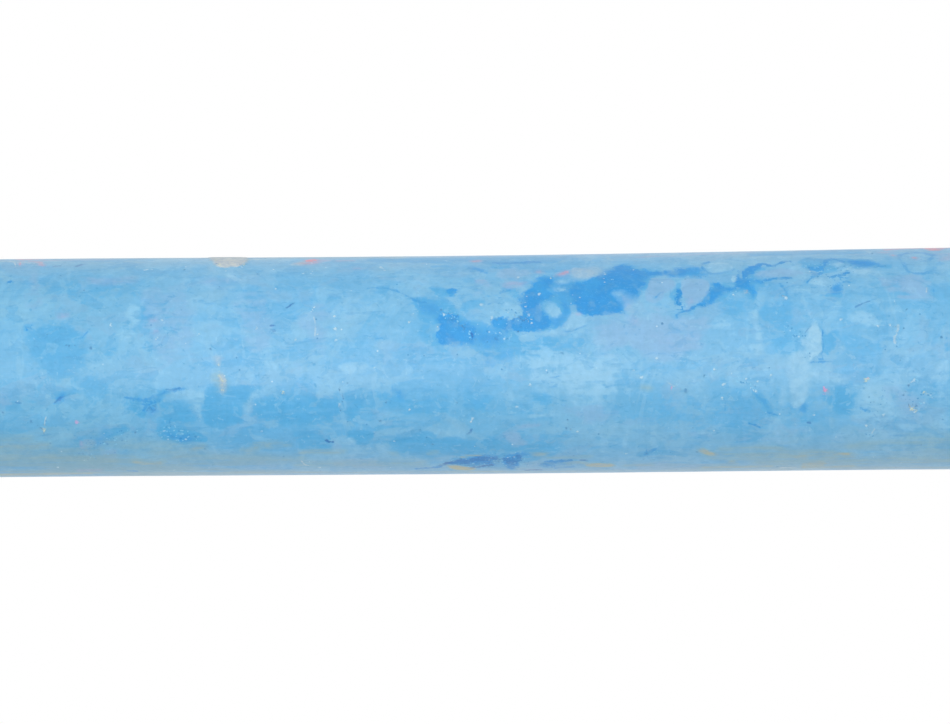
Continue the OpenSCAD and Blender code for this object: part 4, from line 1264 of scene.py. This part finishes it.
# the dusty blue skin: thin films of chalk smeared over each other
col = blend(span(n_broad, 0.36, 0.64), look(122, 188, 232), look(132, 192, 230))
col = blend(span(n_hue, 0.5, 0.72, 0, 0.5), col, look(109, 183, 231))
col = blend(span(n_hue, 0.5, 0.28, 0, 0.5), col, look(142, 195, 228))


def smear(col, per_mm, seed, low, width, strength, colour, distort=1.0):
    """Irregular dabs with a fairly firm edge."""
    return blend(span(noise(per_mm, seed, 5, 0.58, distort), low, low + width, 0, strength), col, colour)


col = smear(col, (0.20, 0.20, 0.13), 21, 0.50, 0.070, 0.50, look(110, 183, 229))
col = smear(col, (0.26, 0.26, 0.18), 22, 0.52, 0.060, 0.50, look(146, 198, 230))
col = smear(col, (0.30, 0.30, 0.62), 23, 0.55, 0.050, 0.40, look(148, 202, 234))
col = smear(col, (0.62, 0.62, 0.36), 24, 0.56, 0.050, 0.40, look(140, 188, 225))
col = smear(col, (0.72, 0.72, 0.48), 25, 0.56, 0.045, 0.42, look(104, 178, 227))

# zones, with the blue rubbed in unevenly
ragged = calc("ADD", calc("MULTIPLY", calc("SUBTRACT", n_mid, 0.5), 1.5), calc("MULTIPLY", calc("SUBTRACT", n_small, 0.5), 1.2))
ragged = calc("ADD", ragged, calc("MULTIPLY", calc("SUBTRACT", n_streak, 0.5), 1.3))


def patchy(z, lo=0.12, hi=0.9):
    """A soft zone broken up by noise."""
    return span(calc("MULTIPLY_ADD", ragged, calc("MULTIPLY", z, 3.0, clamp=True), z), lo, hi)


f_rich = calc("MULTIPLY", patchy(z_rich, 0.22, 0.62), span(z_rich, 0.1, 0.9, 0.5, 1.0))
col = blend(f_rich, col, look(102, 179, 228))
f_soft = calc("MULTIPLY", patchy(t_pale, 0.2, 0.6), span(t_pale, 0.1, 0.8, 0.5, 1.0))
col = blend(f_soft, col, look(150, 203, 235))
f_lilac = calc("MULTIPLY", patchy(z_lilac, 0.15, 0.7), span(z_lilac, 0.1, 0.9, 0.5, 1.0))
col = blend(f_lilac, col, look(141, 188, 226))

# smaller dabs over all of it
col = smear(col, (1.5, 1.5, 1.0), 26, 0.58, 0.040, 0.26, look(154, 206, 236))
col = smear(col, (1.6, 1.6, 1.1), 27, 0.58, 0.040, 0.30, look(98, 172, 223))
col = smear(col, (2.2, 2.2, 0.7), 28, 0.62, 0.035, 0.28, look(84, 162, 216))
col = smear(col, (3.6, 3.6, 2.6), 29, 0.65, 0.030, 0.34, look(78, 156, 212), 0.6)
col = smear(col, (3.4, 3.4, 2.8), 30, 0.64, 0.030, 0.28, look(168, 216, 242), 0.6)

# drawn-out streaks, cross brushing and fine mottling
shade = calc("ADD", calc("MULTIPLY", calc("SUBTRACT", n_streak, 0.5), 0.12), calc("MULTIPLY", calc("SUBTRACT", n_streak2, 0.5), 0.05))
shade = calc("ADD", shade, calc("MULTIPLY", calc("SUBTRACT", n_brush, 0.5), 0.06))
shade = calc("ADD", shade, calc("MULTIPLY", calc("SUBTRACT", n_small, 0.5), 0.07))
up = blend(span(shade, 0.0, 0.12, 0, 0.5, False), col, look(166, 212, 240))
col = blend(span(shade, 0.0, -0.12, 0, 0.5, False), up, look(92, 168, 222))

# the film on the side that lay down: beige dirt, and painted shade that greys and darkens the side turned away from
# the key lights
n_long = noise((1.3, 1.3, 0.2), 13, 3, 0.55, 0.3)
f_film_and_shade = calc("MULTIPLY", e_film_and_shade, span(calc("ADD", calc("MULTIPLY", n_long, 0.65), calc("MULTIPLY", n_streak, 0.35)), 0.42, 0.58, 0.25, 1.3), clamp=True)
col = blend(calc("MULTIPLY", f_film_and_shade, 0.74), col, blend(c_warm, look(139, 186, 214), look(145, 184, 203)))
col = blend(c_dull, col, (0.87, 0.94, 0.94, 1.0), "MULTIPLY")


def cover(name, wobble, fine=0.0):
    sd, amp, soft = three(name)
    f = calc("ADD", sd, calc("MULTIPLY", calc("SUBTRACT", n_small, 0.5), wobble))
    f = calc("ADD", f, calc("MULTIPLY", calc("SUBTRACT", n_edge, 0.5), 0.6 * wobble))
    soft = calc("MULTIPLY", soft, span(n_feather, 0.40, 0.60, 0.9, 3.2))
    if fine:
        f = calc("ADD", f, calc("MULTIPLY", calc("SUBTRACT", n_grain, 0.5), fine))
    return calc("MULTIPLY", span(f, calc("MULTIPLY", soft, -0.8), calc("MULTIPLY", soft, 0.8)), amp)


def thread(name, amp, soft=0.05, halo=0.0):
    """A thin stroke: its point value holds the way to the line and the half width."""
    du, dv, half = three(name)
    d = calc("SQRT", calc("ADD", calc("MULTIPLY", du, du), calc("MULTIPLY", dv, dv)))
    d = calc("ADD", d, calc("MULTIPLY", calc("SUBTRACT", n_grain, 0.5), 0.05))
    wide = calc("MULTIPLY", half, span(n_edge, 0.34, 0.66, 0.4, 1.8))
    f = calc("MULTIPLY_ADD", calc("SUBTRACT", wide, d), 1 / soft, 0.5, clamp=True)
    f = calc("MULTIPLY", calc("MULTIPLY", f, amp), span(n_small, 0.36, 0.56, 0.4, 1.0))
    if halo:
        around = calc("MULTIPLY", span(d, 0.2, 0.03, 0, halo), calc("MULTIPLY", calc("MULTIPLY", half, 40.0, clamp=True), amp))
        return f, calc("MULTIPLY", around, span(n_small, 0.4, 0.56))
    return f


# rubbed bare: strong blue
f_deep = cover("m_deep", 0.55, 0.2)
f_deep = calc("MULTIPLY", f_deep, span(calc("ADD", calc("MULTIPLY", n_mid, 0.6), calc("MULTIPLY", n_small, 0.4)), 0.38, 0.52, 0.58, 1.0))
deep = blend(span(n_mid, 0.38, 0.62), look(60, 152, 223), look(80, 166, 228))
deep = blend(span(n_small, 0.45, 0.6, 0, 0.5), deep, look(76, 160, 226))
deep = blend(span(n_grain, 0.58, 0.7, 0, 0.35), deep, look(110, 184, 236))
col = blend(f_deep, col, deep)
# thin dark lines: mostly cracks, and in two places painted shadow along a raised flake's edge
f_line, f_halo = thread("m_line", a_line, 0.05, 0.55)
col = blend(f_halo, col, look(102, 179, 229))
col = blend(f_line, col, look(70, 154, 220))
f_pale = cover("m_pale", 0.25, 0.1)
col = blend(f_pale, col, blend(span(n_small, 0.35, 0.65), look(146, 200, 234), look(160, 208, 236)))

# dark flecks in their zones, and a few anywhere
edge_sd, edge_amp, _ = three("m_deep")
z_edge = calc("MULTIPLY", span(calc("ABSOLUTE", calc("ADD", edge_sd, 0.02)), 0.26, 0.08), calc("MULTIPLY", edge_amp, 0.6))
z_edge = calc("MULTIPLY", z_edge, span(n_feather, 0.44, 0.56))
z_fleck = calc("MAXIMUM", calc("MULTIPLY", z_fleck, 1.4, clamp=True), z_edge)
for per_mm, seed, size, colour in ((6.2, 7, 0.050, look(84, 156, 212)), (6.6, 8, 0.060, look(142, 206, 240)),
                                   (4.4, 9, 0.072, look(92, 163, 217))):
    cd, cr = crumbs(per_mm, seed)
    cd = calc("MULTIPLY_ADD", cd, span(n_grain, 0.36, 0.64, 0.6, 1.9), calc("MULTIPLY", calc("SUBTRACT", n_edge, 0.5), 0.06))
    f = calc("MULTIPLY", span(cd, calc("MULTIPLY", z_fleck, size), calc("MULTIPLY", z_fleck, 0.5 * size)), span(cr, 0.52, 0.62))
    col = blend(calc("MULTIPLY", f, span(z_fleck, 0.05, 0.6, 0, 0.85)), col, colour)
fd, fr = crumbs(3.2, 1)
f_fleck = span(fd, calc("MULTIPLY", z_fleck, 0.085), calc("MULTIPLY", z_fleck, 0.05))
f_fleck = calc("MULTIPLY", f_fleck, span(fr, 0.3, 0.5))
f_fleck = calc("MULTIPLY", f_fleck, span(z_fleck, 0.05, 0.5, 0, 0.8))
col = blend(calc("MULTIPLY", f_fleck, 0.5), col, look(66, 140, 202))
gd, gr = crumbs(3.0, 5)
f_bits = calc("MULTIPLY", span(gd, calc("MULTIPLY", z_fleck, 0.075), calc("MULTIPLY", z_fleck, 0.035)), span(gr, 0.45, 0.6))
col = blend(calc("MULTIPLY", f_bits, span(z_fleck, 0.05, 0.5, 0, 0.75)), col, look(176, 216, 240))
sd2, sr2 = crumbs(1.3, 2)
col = blend(calc("MULTIPLY", span(sd2, 0.06, 0.03), span(sr2, 0.4, 0.8, 0.1, 0.6)), col, look(70, 140, 200))
f_dark = thread("m_dark", a_dark, 0.045)
col = blend(calc("MULTIPLY", f_dark, 0.85), col, look(48, 120, 188))

# smears of other chalks
f_ochre = calc("MULTIPLY", t_ochre, span(calc("ADD", calc("MULTIPLY", n_streak2, 0.5), calc("MULTIPLY", n_small, 0.5)), 0.38, 0.6, 0.4, 1.0), clamp=True)
col = blend(f_ochre, col, blend(span(t_ochre, 0.4, 1.0), look(150, 186, 197), look(179, 187, 168)))
f_pink = calc("MULTIPLY", t_pink, span(calc("ADD", calc("MULTIPLY", n_edge, 0.5), calc("MULTIPLY", n_streak2, 0.5)), 0.38, 0.58, 0.3, 1.0), clamp=True)
col = blend(f_pink, col, blend(span(t_pink, 0.55, 1.0), look(172, 176, 212), look(222, 150, 168)))
f_crust = cover("m_crust", 0.3, 0.15)
col = blend(f_crust, col, blend(span(n_edge, 0.4, 0.6), look(207, 217, 220), look(187, 202, 214)))
f_scratch = thread("m_scratch", a_scratch, 0.045)
col = blend(f_scratch, col, look(190, 214, 226))

# crumbs
wd, wr = crumbs(1.0, 3)
f_white = calc("MULTIPLY", span(wd, 0.055, 0.03), span(wr, 0.3, 0.7, 0.15, 0.7))
col = blend(f_white, col, look(200, 228, 244))
ddu, ddv, drad = three("m_dot")
dlen = calc("SQRT", calc("ADD", calc("MULTIPLY", ddu, ddu), calc("MULTIPLY", ddv, ddv)))
dlen = calc("MULTIPLY", dlen, span(n_edge, 0.36, 0.64, 0.5, 1.9))
dlen = calc("ADD", dlen, calc("MULTIPLY", calc("SUBTRACT", n_grain, 0.5), 0.09))
f_dot = calc("MULTIPLY_ADD", calc("SUBTRACT", drad, dlen), 1 / 0.05, 0.5, clamp=True)
f_dot = calc("MULTIPLY", f_dot, span(n_small, 0.38, 0.56, 0.6, 1.0))
dot_attr = nt.nodes.new("ShaderNodeAttribute")
dot_attr.attribute_name = "m_dot_colour"
col = blend(calc("MULTIPLY", f_dot, 0.8), col, dot_attr.outputs["Color"])

# rims worn to the stronger blue, ends dry and a little paler
col = blend(calc("MULTIPLY", e_wear, span(n_small, 0.4, 0.6, 0.15, 0.7)), col, look(92, 168, 226))
col = blend(calc("MULTIPLY", e_end, 0.35), col, look(150, 200, 232))
light = calc("ADD", calc("MULTIPLY", calc("SUBTRACT", n_grain, 0.5), 0.11), calc("MULTIPLY", calc("SUBTRACT", n_small, 0.5), 0.17))
light = calc("ADD", light, calc("MULTIPLY", calc("SUBTRACT", n_edge, 0.5), 0.12))
light = calc("ADD", light, calc("MULTIPLY", calc("SUBTRACT", n_mid, 0.5), 0.13))
tone = nt.nodes.new("ShaderNodeVectorMath")
tone.operation = "SCALE"
nt.links.new(col, tone.inputs[0])
nt.links.new(calc("ADD", light, 1.0), tone.inputs["Scale"])
nt.links.new(tone.outputs["Vector"], bsdf.inputs["Base Color"])

# gloss: rubbed skin is smoother than dust, bare body and crumbs are rougher
rough = calc("ADD", 0.33, calc("MULTIPLY", calc("SUBTRACT", n_mid, 0.5), 0.16))
rough = calc("ADD", rough, calc("MULTIPLY", calc("SUBTRACT", n_streak, 0.5), 0.10))
rough = calc("ADD", rough, calc("MULTIPLY", f_deep, 0.07))
rough = calc("ADD", rough, calc("MULTIPLY", calc("MAXIMUM", f_crust, f_dot), 0.3))
rough = calc("ADD", rough, calc("MULTIPLY", e_end, 0.3))
nt.links.new(calc("MINIMUM", calc("MAXIMUM", rough, 0.2), 0.85), bsdf.inputs["Roughness"])
bsdf.inputs["IOR"].default_value = 1.45

# fine surface texture, heights in millimetres
h = calc("MULTIPLY", n_edge, 0.012)
h = calc("ADD", h, calc("MULTIPLY", n_grain, 0.005))
h = calc("ADD", h, calc("MULTIPLY", n_small, 0.016))
h = calc("ADD", h, calc("MULTIPLY", n_streak2, 0.004))
h = calc("ADD", h, calc("MULTIPLY", f_deep, -0.004))
h = calc("ADD", h, calc("MULTIPLY", f_pale, 0.006))
h = calc("ADD", h, calc("MULTIPLY", f_crust, calc("MULTIPLY", n_edge, 0.05)))
h = calc("ADD", h, calc("MULTIPLY", f_dark, -0.012))
h = calc("ADD", h, calc("MULTIPLY", f_scratch, 0.01))
h = calc("ADD", h, calc("MULTIPLY", f_dot, 0.02))
h = calc("ADD", h, calc("MULTIPLY", f_fleck, -0.01))
h = calc("ADD", h, calc("MULTIPLY", calc("MULTIPLY", e_end, noise(1.4, 12, 4, 0.65)), 0.09))
bump = nt.nodes.new("ShaderNodeBump")
bump.inputs["Strength"].default_value = 1.0
bump.inputs["Distance"].default_value = 0.001
nt.links.new(h, bump.inputs["Height"])
nt.links.new(bump.outputs["Normal"], bsdf.inputs["Normal"])
me.materials.append(mat)

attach(stick, "root")
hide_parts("stick")

# ---------------------------------------------------------------- floor, light and camera
floor_me = bpy.data.meshes.new("floor")
ring = [(0.36 * math.cos(a), 0.36 * math.sin(a), -0.00002) for a in np.linspace(0, 2 * math.pi, 129)[:-1]]
floor_me.from_pydata(ring, [], [tuple(range(128))])
floor = bpy.data.objects.new("floor", floor_me)
bpy.context.scene.collection.objects.link(floor)
floor_mat = bpy.data.materials.new("pale_floor")
floor_mat.use_nodes = True
fb = floor_mat.node_tree.nodes["Principled BSDF"]
fb.inputs["Base Color"].default_value = (0.82, 0.81, 0.79, 1)
fb.inputs["Roughness"].default_value = 0.7
floor_me.materials.append(floor_mat)

world = bpy.data.worlds.new("studio")
bpy.context.scene.world = world
world.use_nodes = True
wt = world.node_tree
wt.nodes.clear()
w_out = wt.nodes.new("ShaderNodeOutputWorld")
w_mix = wt.nodes.new("ShaderNodeMixShader")
w_fill = wt.nodes.new("ShaderNodeBackground")
w_seen = wt.nodes.new("ShaderNodeBackground")
w_path = wt.nodes.new("ShaderNodeLightPath")
# the room is dim in front of the stick, and a white backdrop stands behind it
w_dir = wt.nodes.new("ShaderNodeTexCoord")
w_split = wt.nodes.new("ShaderNodeSeparateXYZ")
w_level = wt.nodes.new("ShaderNodeMapRange")
w_level.interpolation_type = "SMOOTHSTEP"
for name, value in (("From Min", -0.05), ("From Max", 0.25), ("To Min", 0.46), ("To Max", 1.0)):
    w_level.inputs[name].default_value = value
wt.links.new(w_dir.outputs["Generated"], w_split.inputs[0])
wt.links.new(w_split.outputs["Y"], w_level.inputs["Value"])
wt.links.new(w_level.outputs["Result"], w_fill.inputs["Strength"])
w_fill.inputs["Color"].default_value = (1, 1, 1, 1)
w_seen.inputs["Color"].default_value = (1, 1, 1, 1)
w_seen.inputs["Strength"].default_value = 1.0
wt.links.new(w_path.outputs["Is Camera Ray"], w_mix.inputs[0])
wt.links.new(w_fill.outputs[0], w_mix.inputs[1])
wt.links.new(w_seen.outputs[0], w_mix.inputs[2])
wt.links.new(w_mix.outputs[0], w_out.inputs["Surface"])


def softbox(name, angle, height, distance, wide, tall, radiance, colour=(1, 1, 1)):
    """A rectangular lamp that faces the middle of the stick. angle turns from -Y towards +X."""
    lamp = bpy.data.lights.new(name, "AREA")
    lamp.shape = "RECTANGLE"
    lamp.size, lamp.size_y = wide, tall
    lamp.energy = radiance * math.pi * wide * tall
    lamp.color = colour
    ob = bpy.data.objects.new(name, lamp)
    bpy.context.scene.collection.objects.link(ob)
    a = math.radians(angle)
    ob.location = (distance * math.sin(a), -distance * math.cos(a), height)
    aim = Vector((0, 0, 0.04)) - ob.location
    ob.rotation_mode = "QUATERNION"
    ob.rotation_quaternion = aim.to_track_quat("-Z", "Y")
    ob.visible_camera = False
    return ob


softbox("key_edge", -10.5, 0.04, 0.6, 0.275, 1.2, 2.55)
softbox("key", 21.0, 0.04, 0.6, 0.402, 1.2, 1.36)
softbox("side", 62.5, 0.04, 0.6, 0.497, 1.2, 0.62)
softbox("fill", -52.0, 0.04, 0.6, 0.4, 1.2, 0.10)

cam_data = bpy.data.cameras.new("camera")
cam = bpy.data.objects.new("camera", cam_data)
bpy.context.scene.collection.objects.link(cam)
SCALE = 21.8  # pixels to a millimetre of the stick, in a frame 950 wide
DIST = 0.5
cam_data.sensor_width = 36.0
cam_data.lens = 36.0 * DIST / (950 / SCALE * MM)
cam_data.clip_start, cam_data.clip_end = 0.01, 20
roll = -0.01016
right = Vector((math.sin(roll), 0, -math.cos(roll)))
up = Vector((math.cos(roll), 0, math.sin(roll)))
behind = Vector((0, -1, 0))
m = Matrix((right, up, behind)).transposed().to_4x4()
m.translation = Vector((0.094 * MM, -DIST, 0.04))
cam.matrix_world = m
bpy.context.scene.camera = cam

vs = bpy.context.scene.view_settings
vs.view_transform = "Standard"
vs.look = "None"
vs.exposure = 0
vs.gamma = 1
